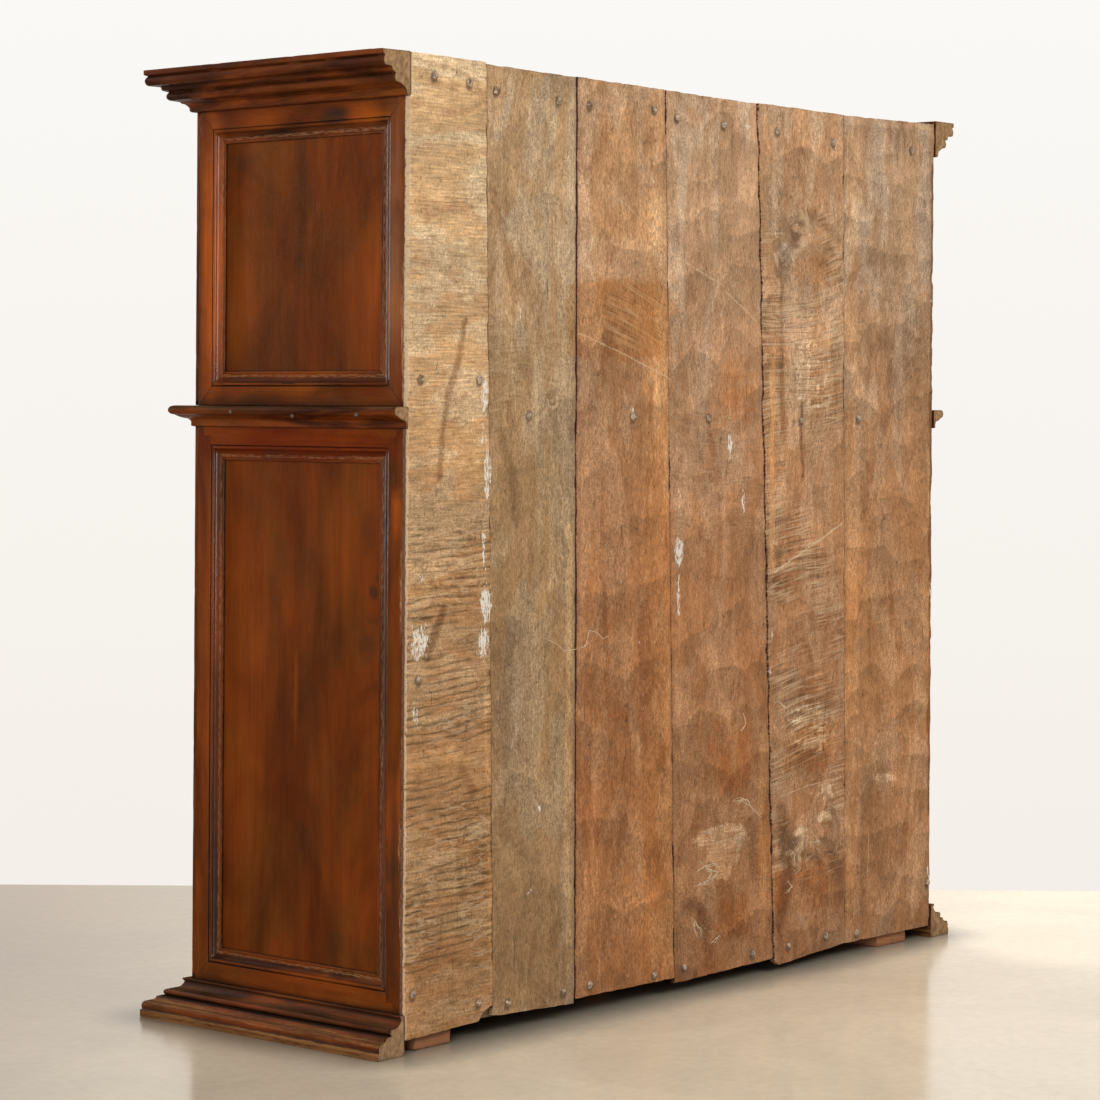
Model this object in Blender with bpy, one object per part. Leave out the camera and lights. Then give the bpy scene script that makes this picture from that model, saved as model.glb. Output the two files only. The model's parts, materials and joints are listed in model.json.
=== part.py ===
"""Two-tier panelled walnut sideboard: carcass boards, mitred side frames with panels, planted mouldings,
six nailed back boards, and four pivot-hung doors with turned knobs and two rim locks.

Metres, +Z up. The front faces -Y, and the origin is on the floor at the middle of the overall footprint.
"""

import math

import bmesh
import bpy
from mathutils import Vector

# Carcass: width over the end frames, depth from the posts' face to the rear of the back boards
CARCASS_WIDTH = 1.556
CARCASS_DEPTH = 0.509
TOTAL_HEIGHT = 1.650

# Levels and thicknesses of the three carcass boards
PLINTH_TOP = 0.066
WAIST_TOP = 1.066
TOP_BOARD_DROP = 0.041
BOARD_THICKNESS = 0.035
TOP_BOARD_THICKNESS = 0.030

# Clearances: seated faces, mitred ends, panels in their rebates, pins in their bores
SEAT_GAP = 0.0003
MITRE_GAP = 0.0004
PANEL_PLAY = 0.0010
BORE_PLAY = 0.0003
BORE_END_PLAY = 0.0020

# Mitred frames: worked edge inside the flat band, and the rebate behind it that takes the panel
END_FRAME_THICKNESS = 0.028
END_FRAME_BAND = 0.033
DOOR_BAND = 0.060
BEAD_WIDTH = 0.008
BEAD_QUIRK = 0.0025
COVE_WIDTH = 0.013
LIP_WIDTH = 0.005
LIP_DEPTH = 0.0068
PANEL_SINK = 0.010
PANEL_LAP = 0.014
PANEL_THICKNESS = 0.012

# Front posts: an L in plan, whose thin leg covers the front edge of the end frame
POST_WIDTH = 0.085
POST_FACE = 0.007
POST_THICKNESS = 0.028

# Doors and the iron pins they turn on
DOOR_THICKNESS = 0.026
DOOR_GAP = 0.0020
HINGE_GAP = 0.0020
MEETING_GAP = 0.0030
PIVOT_INSET = 0.011
PIN_RADIUS = 0.0045
PIN_SEAT = 0.020
PIN_REACH = 0.022
COLLAR_RADIUS = 0.009

# Turned knobs
KNOB_RISE = 0.085
KNOB_SPIGOT_RADIUS = 0.005
KNOB_SPIGOT_LENGTH = 0.018
KNOB_ROSE_RADIUS = 0.012
KNOB_ROSE_HEIGHT = 0.004
KNOB_NECK_RADIUS = 0.007
KNOB_NECK_LENGTH = 0.010
KNOB_BALL_RADIUS = 0.016

# Rim locks on the right-hand doors: a tray screwed to the inside, its sliding bolt and its key
LOCK_HEIGHT = 0.070
LOCK_DEPTH = 0.014
LOCK_WALL = 0.0020
LOCK_MARGIN = 0.002
BOLT_HEIGHT = 0.012
BOLT_THICKNESS = 0.005
BOLT_OFFSET = 0.0010
BOLT_RISE = 0.010
BOLT_TAIL = 0.014
KEY_DROP = 0.008
KEY_SHANK_RADIUS = 0.0035
KEY_SHANK_OUT = 0.022
KEY_BOW_RADIUS = 0.014
KEY_BOW_HOLE = 0.009
KEY_BOW_THICKNESS = 0.004
KEY_BIT_REACH = 0.0105
KEY_BIT_LENGTH = 0.007
KEY_BIT_THICKNESS = 0.0024

# Shelf of the lower tier and the cleats under it
SHELF_TOP = 0.480
SHELF_THICKNESS = 0.022
SHELF_SETBACK = 0.060
SHELF_SIDE_PLAY = 0.0010
CLEAT_WIDTH = 0.022
CLEAT_HEIGHT = 0.030

# Raw foot blocks: distance from the nearer end of the carcass, width, and set-in from the back boards
FOOT_DEPTH = 0.100
FOOT_RIGHT_INSET = 0.040
FOOT_RIGHT_WIDTH = 0.090
FOOT_LEFT_INSET = 0.068
FOOT_LEFT_WIDTH = 0.100
FOOT_SET_IN = 0.004
MIDDLE_FOOT_OFFSET = 0.125
MIDDLE_FOOT_WIDTH = 0.070
MIDDLE_FOOT_SET_IN = 0.120

# Back boards from the right end to the left: thickness of each, and the joints between them as
# shares of the width at the top and at the bottom edge, because the boards taper
BACK_THICKNESS = 0.012
BACK_THINNING = (0.0, 0.0008, 0.0002, 0.0006, 0.0, 0.0010)
BACK_JOINTS = ((0.122, 0.142), (0.275, 0.281), (0.436, 0.463), (0.615, 0.658), (0.795, 0.809))
BACK_JOINT_GAP = 0.0012
# Lower edge of each board as (share of its width, height above the floor)
BACK_FOOT_LINES = (
    ((0.0, 0.024), (0.83, 0.030), (0.88, 0.044), (1.0, 0.054)),
    ((0.0, 0.033), (1.0, 0.024)),
    ((0.0, 0.032), (1.0, 0.031)),
    ((0.0, 0.020), (1.0, 0.027)),
    ((0.0, 0.020), (0.06, 0.012), (1.0, 0.027)),
    ((0.0, 0.025), (1.0, 0.024)),
)
# How far each board stops short of the cornice top at its right and left corner
BACK_TOP_DROPS = ((0.0, 0.001), (0.004, 0.006), (0.005, 0.008), (0.008, 0.011), (0.009, 0.011), (0.011, 0.006))

ARC_STEPS = 6
ROUND_STEPS = 24
PIN_STEPS = 16


def arc(start, via, end, steps=ARC_STEPS):
    """Points after start along the circle through three points of a plane, ending on end."""
    (ax, ay), (bx, by), (cx, cy) = start, via, end
    twice = 2 * (ax * (by - cy) + bx * (cy - ay) + cx * (ay - by))
    a2, b2, c2 = ax * ax + ay * ay, bx * bx + by * by, cx * cx + cy * cy
    mid_x = (a2 * (by - cy) + b2 * (cy - ay) + c2 * (ay - by)) / twice
    mid_y = (a2 * (cx - bx) + b2 * (ax - cx) + c2 * (bx - ax)) / twice
    radius = math.hypot(ax - mid_x, ay - mid_y)
    first, passing, last = (math.atan2(y - mid_y, x - mid_x) for x, y in (start, via, end))
    turn = (last - first) % math.tau
    if (passing - first) % math.tau > turn:
        turn -= math.tau
    angles = [first + turn * step / steps for step in range(1, steps)]
    return [(mid_x + radius * math.cos(a), mid_y + radius * math.sin(a)) for a in angles] + [end]


# Moulding outlines as (reach from the carcass, drop below the moulding's top)
CORNICE = [
    (0.0660, 0.0000),
    (0.0660, 0.0084),
    (0.0605, 0.0110),
    *arc((0.0605, 0.0110), (0.0646, 0.0190), (0.0605, 0.0277)),
    (0.0450, 0.0284),
    (0.0438, 0.0350),
    (0.0350, 0.0384),
    *arc((0.0350, 0.0384), (0.0382, 0.0455), (0.0343, 0.0525)),
    (0.0213, 0.0550),
    (0.0189, 0.0577),
    *arc((0.0189, 0.0577), (0.0110, 0.0625), (0.0094, 0.0700)),
    (0.0070, 0.0724),
    (0.0000, 0.0734),
]
WAIST_MOULDING = [
    (0.0260, 0.0000),
    *arc((0.0260, 0.0000), (0.0340, 0.0080), (0.0260, 0.0160)),
    (0.0240, 0.0170),
    *arc((0.0240, 0.0170), (0.0180, 0.0205), (0.0120, 0.0225)),
    *arc((0.0120, 0.0225), (0.0072, 0.0245), (0.0050, 0.0290)),
    (0.0050, 0.0356),
    (0.0000, 0.0370),
]
BASE_MOULDING = [
    (0.0115, 0.0000),
    (0.0115, 0.0030),
    (0.0087, 0.0060),
    *arc((0.0087, 0.0060), (0.0150, 0.0155), (0.0300, 0.0190)),
    *arc((0.0300, 0.0190), (0.0350, 0.0245), (0.0300, 0.0300)),
    (0.0428, 0.0310),
    *arc((0.0428, 0.0310), (0.0468, 0.0372), (0.0575, 0.0394)),
    *arc((0.0575, 0.0394), (0.0616, 0.0464), (0.0610, 0.0532)),
    (0.0636, 0.0550),
    (0.0636, 0.0670),
]

# Values that follow from the sizes above
HALF_WIDTH = CARCASS_WIDTH / 2
FRONT_OVERHANG = max(reach for reach, drop in CORNICE + WAIST_MOULDING + BASE_MOULDING)
FRONT_Y = (FRONT_OVERHANG - CARCASS_DEPTH) / 2
REAR_Y = FRONT_Y + CARCASS_DEPTH
BACK_INNER_Y = REAR_Y - BACK_THICKNESS
CARCASS_REAR_Y = BACK_INNER_Y - SEAT_GAP
PLINTH_BOTTOM = PLINTH_TOP - BOARD_THICKNESS
WAIST_BOTTOM = WAIST_TOP - BOARD_THICKNESS
TOP_BOARD_TOP = TOTAL_HEIGHT - TOP_BOARD_DROP
TOP_BOARD_BOTTOM = TOP_BOARD_TOP - TOP_BOARD_THICKNESS
CORNICE_HEIGHT = max(drop for reach, drop in CORNICE)
WAIST_MOULDING_HEIGHT = max(drop for reach, drop in WAIST_MOULDING)
BASE_HEIGHT = max(drop for reach, drop in BASE_MOULDING)
MOULD_WIDTH = BEAD_WIDTH + COVE_WIDTH + LIP_WIDTH
END_INNER_X = HALF_WIDTH - END_FRAME_THICKNESS

# Doors close between the boards and clear the mouldings that stand out in front of them
DOOR_SPANS = {
    "lower": (
        max(PLINTH_TOP, BASE_HEIGHT) + DOOR_GAP,
        min(WAIST_BOTTOM, WAIST_TOP - WAIST_MOULDING_HEIGHT) - DOOR_GAP,
    ),
    "upper": (
        WAIST_TOP + DOOR_GAP,
        min(TOP_BOARD_BOTTOM, TOTAL_HEIGHT - CORNICE_HEIGHT) - DOOR_GAP,
    ),
}
TIER_SPANS = {
    "lower": (PLINTH_TOP + SEAT_GAP, WAIST_BOTTOM - SEAT_GAP),
    "upper": (WAIST_TOP + SEAT_GAP, TOP_BOARD_BOTTOM - SEAT_GAP),
}
SIDES = {"right": 1, "left": -1}
DOOR_HINGE_X = HALF_WIDTH - POST_WIDTH - HINGE_GAP
DOOR_MEETING_X = MEETING_GAP / 2
PIVOT_X = DOOR_HINGE_X - PIVOT_INSET
PIVOT_Y = FRONT_Y + PIVOT_INSET
DOOR_REAR_Y = FRONT_Y + DOOR_THICKNESS
KNOB_X = DOOR_MEETING_X + DOOR_BAND / 2
LOCK_X = DOOR_MEETING_X + LOCK_MARGIN
LOCK_WIDTH = DOOR_BAND + MOULD_WIDTH - PANEL_LAP - 2 * LOCK_MARGIN
BOLT_LENGTH = LOCK_WIDTH - LOCK_WALL - BOLT_TAIL
LOCK_FLOOR_Y = DOOR_REAR_Y + LOCK_DEPTH - LOCK_WALL


def clear_scene():
    for old in list(bpy.data.objects):
        bpy.data.objects.remove(old, do_unlink=True)


def finish(name, colour, roughness, metallic=0.0):
    """A Principled material of one colour."""
    material = bpy.data.materials.new(name)
    material.use_nodes = True
    shader = material.node_tree.nodes["Principled BSDF"]
    shader.inputs["Base Color"].default_value = (*colour, 1.0)
    shader.inputs["Roughness"].default_value = roughness
    shader.inputs["Metallic"].default_value = metallic
    return material


class Body:
    """An empty that carries the pieces of one rigid body, standing on the axis that the body turns about."""

    def __init__(self, name, origin=(0.0, 0.0, 0.0), carrier=None):
        self.origin = Vector(origin)
        self.empty = bpy.data.objects.new(name, None)
        bpy.context.scene.collection.objects.link(self.empty)
        self.empty.parent = carrier.empty if carrier else None
        self.empty.location = self.origin - (carrier.origin if carrier else Vector())


def add_solid(name, body, material, points, faces, smooth=False):
    """A closed mesh object from points in the common frame, parented to its body's empty."""
    mesh = bmesh.new()
    corners = [mesh.verts.new(Vector(point) - body.origin) for point in points]
    for face in faces:
        mesh.faces.new([corners[index] for index in face])
    bmesh.ops.recalc_face_normals(mesh, faces=mesh.faces[:])
    data = bpy.data.meshes.new(name)
    mesh.to_mesh(data)
    mesh.free()
    if smooth:
        data.shade_smooth()
        data.set_sharp_from_angle(angle=math.radians(40))
    data.materials.append(material)
    solid = bpy.data.objects.new(name, data)
    bpy.context.scene.collection.objects.link(solid)
    solid.parent = body.empty
    return solid


def prism_faces(count):
    """Faces of a solid whose points are two matching outlines, one after the other."""
    around = [(k, (k + 1) % count, count + (k + 1) % count, count + k) for k in range(count)]
    return [tuple(range(count))[::-1], tuple(range(count, 2 * count)), *around]


def add_prism(name, body, material, near, far):
    return add_solid(name, body, material, [*near, *far], prism_faces(len(near)))


def box_points(low, high):
    (x0, y0, z0), (x1, y1, z1) = low, high
    floor = [(x0, y0, z0), (x1, y0, z0), (x1, y1, z0), (x0, y1, z0)]
    return floor + [(x, y, z1) for x, y, z in floor]


def add_box(name, body, material, low, high):
    return add_solid(name, body, material, box_points(low, high), prism_faces(4))


def turned_parts(profile, place, steps):
    """Points and faces of a turned solid: profile is (radius, distance along the axis), ends closed."""
    points = [
        place(radius * math.cos(math.tau * k / steps), radius * math.sin(math.tau * k / steps), along)
        for radius, along in profile
        for k in range(steps)
    ]
    faces = [tuple(range(steps)), tuple(range((len(profile) - 1) * steps, len(profile) * steps))]
    for row in range(len(profile) - 1):
        for k in range(steps):
            here, after = row * steps + k, row * steps + (k + 1) % steps
            faces.append((here, after, after + steps, here + steps))
    return points, faces


def add_turned(name, body, material, profile, place, steps=ROUND_STEPS):
    points, faces = turned_parts(profile, place, steps)
    return add_solid(name, body, material, points, faces, smooth=True)


def carve(solid, tool, operation="DIFFERENCE"):
    """Cuts or joins a helper solid, which then stays hidden."""
    tool.hide_render = True
    tool.display_type = "WIRE"
    cut = solid.modifiers.new(tool.name, "BOOLEAN")
    cut.operation = operation
    cut.solver = "EXACT"
    cut.object = tool


def upright(x, y):
    """Places a turned piece with its axis along +Z through (x, y)."""
    return lambda across, deep, along: (x + across, y + deep, along)


def outward(x, z):
    """Places a turned piece with its axis along -Y, measured out from the doors' face."""
    return lambda across, high, along: (x + across, FRONT_Y - along, z + high)


def drill(solid, body, name, radius, span, place):
    """Cuts a round hole that runs along the placed axis between two distances."""
    tool = add_turned(name, body, METAL, [(radius, span[0]), (radius, span[1])], place, PIN_STEPS)
    carve(solid, tool)


def frame_section(band, thickness):
    """Cross-section of a mitred frame as (distance in from the outer edge, depth behind the face)."""
    bead_end = band + BEAD_WIDTH
    cove_end = bead_end + COVE_WIDTH
    inner = cove_end + LIP_WIDTH
    cove_start_depth = BEAD_QUIRK + 0.4 * (LIP_DEPTH - BEAD_QUIRK)
    cove_end_depth = LIP_DEPTH + 0.25 * (PANEL_SINK - LIP_DEPTH)
    cove_start = (bead_end, cove_start_depth)
    cove_end_point = (cove_end, cove_end_depth)
    cove_low = (bead_end + 0.38 * COVE_WIDTH, cove_start_depth + 0.8 * (cove_end_depth - cove_start_depth))
    return [
        (0.0, 0.0),
        (band, 0.0),
        (band, BEAD_QUIRK),
        *arc((band, BEAD_QUIRK), (band + BEAD_WIDTH / 2, 0.1 * BEAD_QUIRK), (bead_end, BEAD_QUIRK)),
        cove_start,
        *arc(cove_start, cove_low, cove_end_point),
        (cove_end, LIP_DEPTH),
        (inner, LIP_DEPTH),
        (inner, PANEL_SINK),
        (inner - PANEL_LAP, PANEL_SINK),
        (inner - PANEL_LAP, thickness),
        (0.0, thickness),
    ]


def add_framed_panel(prefix, body, band, thickness, span, rise, place):
    """A mitred frame and the panel in its rebate. place turns (across, up, depth) into a point."""
    section = frame_section(band, thickness)
    points = []
    for inset, depth in section:
        for across, up in (
            (inset, inset),
            (span - inset, inset),
            (span - inset, rise - inset),
            (inset, rise - inset),
        ):
            points.append(place(across, up, depth))
    faces = []
    for row in range(len(section)):
        after = (row + 1) % len(section)
        for side in range(4):
            onward = (side + 1) % 4
            faces.append((4 * row + side, 4 * row + onward, 4 * after + onward, 4 * after + side))
    frame = add_solid(prefix + "_frame", body, STAINED, points, faces)
    edge = band + MOULD_WIDTH - PANEL_LAP + PANEL_PLAY
    outline = [(edge, edge), (span - edge, edge), (span - edge, rise - edge), (edge, rise - edge)]
    front = PANEL_SINK + SEAT_GAP
    near = [place(across, up, front) for across, up in outline]
    far = [place(across, up, front + PANEL_THICKNESS) for across, up in outline]
    add_prism(prefix + "_panel", body, PANEL, near, far)
    return frame


def add_carcass_boards(body):
    """Bottom, waist and top boards, bored for the door pins, and the shelf on its cleats."""
    boards = {
        "bottom_board": (PLINTH_BOTTOM, PLINTH_TOP),
        "waist_board": (WAIST_BOTTOM, WAIST_TOP),
        "top_board": (TOP_BOARD_BOTTOM, TOP_BOARD_TOP),
    }
    bores = {
        "bottom_board": (PLINTH_TOP - PIN_SEAT - BORE_END_PLAY, PLINTH_TOP + BORE_END_PLAY),
        "waist_board": (WAIST_BOTTOM - BORE_END_PLAY, WAIST_TOP + BORE_END_PLAY),
        "top_board": (TOP_BOARD_BOTTOM - BORE_END_PLAY, TOP_BOARD_BOTTOM + PIN_SEAT + BORE_END_PLAY),
    }
    for name, (bottom, top) in boards.items():
        board = add_box(name, body, CARCASS, (-HALF_WIDTH, FRONT_Y, bottom), (HALF_WIDTH, CARCASS_REAR_Y, top))
        for side, sign in SIDES.items():
            place = upright(sign * PIVOT_X, PIVOT_Y)
            drill(board, body, f"cut_{name}_{side}", PIN_RADIUS + BORE_PLAY, bores[name], place)
    shelf_front = FRONT_Y + SHELF_SETBACK
    shelf_half = END_INNER_X - SHELF_SIDE_PLAY
    shelf_bottom = SHELF_TOP - SHELF_THICKNESS
    low = (-shelf_half, shelf_front, shelf_bottom)
    add_box("lower_shelf", body, CARCASS, low, (shelf_half, CARCASS_REAR_Y, SHELF_TOP))
    cleat_top = shelf_bottom - SEAT_GAP
    for side, sign in SIDES.items():
        outer = sign * (END_INNER_X - SEAT_GAP)
        inner = sign * (END_INNER_X - SEAT_GAP - CLEAT_WIDTH)
        low = (min(outer, inner), shelf_front, cleat_top - CLEAT_HEIGHT)
        add_box(f"shelf_cleat_{side}", body, CARCASS, low, (max(outer, inner), CARCASS_REAR_Y, cleat_top))


def add_end(body, tier, side):
    """End frame with its panel, and the front post whose thin leg covers the frame's front edge."""
    sign = SIDES[side]
    bottom, top = TIER_SPANS[tier]
    frame_front = FRONT_Y + POST_FACE + SEAT_GAP

    def place(across, up, depth):
        return (sign * (HALF_WIDTH - depth), frame_front + across, bottom + up)

    depth_span = CARCASS_REAR_Y - frame_front
    add_framed_panel(f"{tier}_end_{side}", body, END_FRAME_BAND, END_FRAME_THICKNESS, depth_span, top - bottom, place)
    inner = HALF_WIDTH - POST_WIDTH
    rebate = END_INNER_X - SEAT_GAP
    plan = (
        (HALF_WIDTH, FRONT_Y),
        (HALF_WIDTH, FRONT_Y + POST_FACE),
        (rebate, FRONT_Y + POST_FACE),
        (rebate, FRONT_Y + POST_THICKNESS),
        (inner, FRONT_Y + POST_THICKNESS),
        (inner, FRONT_Y),
    )
    near = [(sign * x, y, bottom) for x, y in plan]
    far = [(sign * x, y, top) for x, y in plan]
    add_prism(f"{tier}_post_{side}", body, STAINED, near, far)


def add_moulding(body, name, outline, top):
    """Front run mitred at both ends, and two end runs mitred in front and sawn square at the back."""
    bottom_drop = outline[-1][1]
    section = [(SEAT_GAP, 0.0)]
    section += [(max(reach, SEAT_GAP), drop) for reach, drop in outline]
    if outline[-1][0] > SEAT_GAP:
        section.append((SEAT_GAP, bottom_drop))
    levels = [(reach, top - drop) for reach, drop in section]
    near = [(-(HALF_WIDTH + reach - MITRE_GAP), FRONT_Y - reach, z) for reach, z in levels]
    far = [(HALF_WIDTH + reach - MITRE_GAP, FRONT_Y - reach, z) for reach, z in levels]
    add_prism(f"{name}_front", body, STAINED, near, far)
    for side, sign in SIDES.items():
        near = [(sign * (HALF_WIDTH + reach), FRONT_Y - reach, z) for reach, z in levels]
        far = [(sign * (HALF_WIDTH + reach), REAR_Y, z) for reach, z in levels]
        add_prism(f"{name}_{side}", body, STAINED, near, far)


def add_back_boards(body):
    """Six tapering boards, each from the joint on its right to the joint on its left, seen from the front."""
    joints = ((0.0, 0.0), *BACK_JOINTS, (1.0, 1.0))
    for number, (right, left) in enumerate(zip(joints, joints[1:])):
        right_gap = BACK_JOINT_GAP / 2 if number else 0.0
        left_gap = BACK_JOINT_GAP / 2 if number < len(BACK_JOINTS) else 0.0
        top_right, bottom_right = (HALF_WIDTH - CARCASS_WIDTH * share - right_gap for share in right)
        top_left, bottom_left = (HALF_WIDTH - CARCASS_WIDTH * share + left_gap for share in left)
        right_drop, left_drop = BACK_TOP_DROPS[number]
        outline = [(top_left, TOTAL_HEIGHT - left_drop), (top_right, TOTAL_HEIGHT - right_drop)]
        width = bottom_left - bottom_right
        outline += [(bottom_right + share * width, height) for share, height in BACK_FOOT_LINES[number]]
        rear = REAR_Y - BACK_THINNING[number]
        near = [(x, BACK_INNER_Y, z) for x, z in outline]
        far = [(x, rear, z) for x, z in outline]
        add_prism(f"back_board_{number + 1}", body, RAW_BOARD, near, far)


def add_feet(body):
    """Raw blocks under the bottom board along the back."""
    top = PLINTH_BOTTOM - SEAT_GAP
    rear = BACK_INNER_Y - FOOT_SET_IN
    middle_rear = BACK_INNER_Y - MIDDLE_FOOT_SET_IN
    right = HALF_WIDTH - FOOT_RIGHT_INSET
    left = -HALF_WIDTH + FOOT_LEFT_INSET
    spans = {
        "foot_rear_right": (right - FOOT_RIGHT_WIDTH, right, rear),
        "foot_rear_left": (left, left + FOOT_LEFT_WIDTH, rear),
        "foot_middle": (
            MIDDLE_FOOT_OFFSET - MIDDLE_FOOT_WIDTH / 2,
            MIDDLE_FOOT_OFFSET + MIDDLE_FOOT_WIDTH / 2,
            middle_rear,
        ),
    }
    for name, (low_x, high_x, rear_y) in spans.items():
        add_box(name, body, RAW_BLOCK, (low_x, rear_y - FOOT_DEPTH, 0.0), (high_x, rear_y, top))


def add_pivot_pins(body):
    """Iron pins in the boards. The collars carry the doors, and the waist pin serves both tiers."""
    lower_bottom, lower_top = DOOR_SPANS["lower"]
    upper_bottom, upper_top = DOOR_SPANS["upper"]
    profiles = {
        "bottom": [
            (PIN_RADIUS, PLINTH_TOP - PIN_SEAT),
            (PIN_RADIUS, PLINTH_TOP + SEAT_GAP),
            (COLLAR_RADIUS, PLINTH_TOP + SEAT_GAP),
            (COLLAR_RADIUS, lower_bottom - SEAT_GAP),
            (PIN_RADIUS, lower_bottom - SEAT_GAP),
            (PIN_RADIUS, lower_bottom + PIN_REACH),
        ],
        "waist": [
            (PIN_RADIUS, lower_top - PIN_REACH),
            (PIN_RADIUS, WAIST_TOP + SEAT_GAP),
            (COLLAR_RADIUS, WAIST_TOP + SEAT_GAP),
            (COLLAR_RADIUS, upper_bottom - SEAT_GAP),
            (PIN_RADIUS, upper_bottom - SEAT_GAP),
            (PIN_RADIUS, upper_bottom + PIN_REACH),
        ],
        "top": [
            (PIN_RADIUS, upper_top - PIN_REACH),
            (PIN_RADIUS, TOP_BOARD_BOTTOM + PIN_SEAT),
        ],
    }
    for level, profile in profiles.items():
        for side, sign in SIDES.items():
            place = upright(sign * PIVOT_X, PIVOT_Y)
            add_turned(f"pivot_pin_{level}_{side}", body, METAL, profile, place, PIN_STEPS)


def round_hinge_edge(frame, body, sign, bottom, top, name):
    """Rounds the front hinge corner about the pivot so that the door turns inside its opening."""
    past = PIVOT_INSET
    half_turn = [
        (
            PIVOT_X + PIVOT_INSET * math.cos(math.pi / 2 * step / ARC_STEPS),
            PIVOT_Y - PIVOT_INSET * math.sin(math.pi / 2 * step / ARC_STEPS),
        )
        for step in range(ARC_STEPS + 1)
    ]
    plan = [
        *half_turn,
        (PIVOT_X, FRONT_Y - past),
        (DOOR_HINGE_X + past, FRONT_Y - past),
        (DOOR_HINGE_X + past, PIVOT_Y),
    ]
    near = [(sign * x, y, bottom - past) for x, y in plan]
    far = [(sign * x, y, top + past) for x, y in plan]
    carve(frame, add_prism(name, body, STAINED, near, far))


def add_door(tier, side):
    """One door leaf on its pivot axis: mitred frame, panel and knob. Returns its body and frame."""
    sign = SIDES[side]
    bottom, top = DOOR_SPANS[tier]
    prefix = f"{tier}_door_{side}"
    body = Body(prefix, (sign * PIVOT_X, PIVOT_Y, bottom))

    def place(across, up, depth):
        return (sign * (DOOR_MEETING_X + across), FRONT_Y + depth, bottom + up)

    span = DOOR_HINGE_X - DOOR_MEETING_X
    frame = add_framed_panel(prefix, body, DOOR_BAND, DOOR_THICKNESS, span, top - bottom, place)
    round_hinge_edge(frame, body, sign, bottom, top, f"cut_{prefix}_edge")
    axis = upright(sign * PIVOT_X, PIVOT_Y)
    reach = PIN_REACH + BORE_END_PLAY
    drill(frame, body, f"cut_{prefix}_foot", PIN_RADIUS + BORE_PLAY, (bottom - reach, bottom + reach), axis)
    drill(frame, body, f"cut_{prefix}_head", PIN_RADIUS + BORE_PLAY, (top - reach, top + reach), axis)
    knob_z = (bottom + top) / 2 + KNOB_RISE
    knob_axis = outward(sign * KNOB_X, knob_z)
    hole = (-KNOB_SPIGOT_LENGTH - BORE_END_PLAY, KNOB_SPIGOT_LENGTH)
    drill(frame, body, f"cut_{prefix}_knob", KNOB_SPIGOT_RADIUS + BORE_PLAY, hole, knob_axis)
    add_knob(f"{prefix}_knob", body, knob_axis)
    return body, frame


def add_knob(name, body, place):
    """Turned knob: spigot, rose, hollow neck and flattened ball."""
    rose_top = SEAT_GAP + KNOB_ROSE_HEIGHT
    neck_top = rose_top + KNOB_NECK_LENGTH
    neck_mid = (KNOB_NECK_RADIUS * 0.8, rose_top + KNOB_NECK_LENGTH * 0.45)
    ball_widest = (KNOB_BALL_RADIUS, neck_top + KNOB_BALL_RADIUS * 0.7)
    crown = (KNOB_SPIGOT_RADIUS, neck_top + KNOB_BALL_RADIUS * 1.5)
    profile = [
        (KNOB_SPIGOT_RADIUS, -KNOB_SPIGOT_LENGTH),
        (KNOB_SPIGOT_RADIUS, SEAT_GAP),
        (KNOB_ROSE_RADIUS, SEAT_GAP),
        (KNOB_ROSE_RADIUS, SEAT_GAP + KNOB_ROSE_HEIGHT * 0.6),
        (KNOB_NECK_RADIUS, rose_top),
        *arc((KNOB_NECK_RADIUS, rose_top), neck_mid, (KNOB_NECK_RADIUS, neck_top), 4),
        *arc((KNOB_NECK_RADIUS, neck_top), ball_widest, crown, 9),
    ]
    add_turned(name, body, STAINED, profile, place)


def add_lock(tier, door, frame):
    """Rim lock of a right-hand door: tray and bolt behind the meeting stile, key through the stile."""
    bottom, top = DOOR_SPANS[tier]
    middle = (bottom + top) / 2
    case_front = DOOR_REAR_Y + SEAT_GAP
    case_low = (LOCK_X, case_front, middle - LOCK_HEIGHT / 2)
    case_high = (LOCK_X + LOCK_WIDTH, DOOR_REAR_Y + LOCK_DEPTH, middle + LOCK_HEIGHT / 2)
    case = add_box(f"{tier}_lock_case", door, METAL, case_low, case_high)
    hollow_low = (LOCK_X + LOCK_WALL, case_front - LOCK_WALL, case_low[2] + LOCK_WALL)
    hollow_high = (LOCK_X + LOCK_WIDTH - LOCK_WALL, LOCK_FLOOR_Y, case_high[2] - LOCK_WALL)
    carve(case, add_box(f"cut_{tier}_lock_hollow", door, METAL, hollow_low, hollow_high))
    bolt_z = middle + BOLT_RISE
    bolt_front = DOOR_REAR_Y + BOLT_OFFSET
    bolt_rear = bolt_front + BOLT_THICKNESS
    slot_half = BOLT_HEIGHT / 2 + SEAT_GAP
    slot_low = (LOCK_X - LOCK_WALL, case_front - LOCK_WALL, bolt_z - slot_half)
    slot_high = (LOCK_X + 2 * LOCK_WALL, bolt_rear + SEAT_GAP, bolt_z + slot_half)
    carve(case, add_box(f"cut_{tier}_lock_slot", door, METAL, slot_low, slot_high))
    bolt = Body(f"{tier}_lock_bolt_slide", (LOCK_X, bolt_front, bolt_z), door)
    bolt_low = (LOCK_X, bolt_front, bolt_z - BOLT_HEIGHT / 2)
    bolt_high = (LOCK_X + BOLT_LENGTH, bolt_rear, bolt_z + BOLT_HEIGHT / 2)
    add_box(f"{tier}_lock_bolt", bolt, METAL, bolt_low, bolt_high)
    key_z = middle - KEY_DROP
    cut_keyhole(tier, door, frame, key_z)
    add_key(tier, door, key_z)


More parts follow.
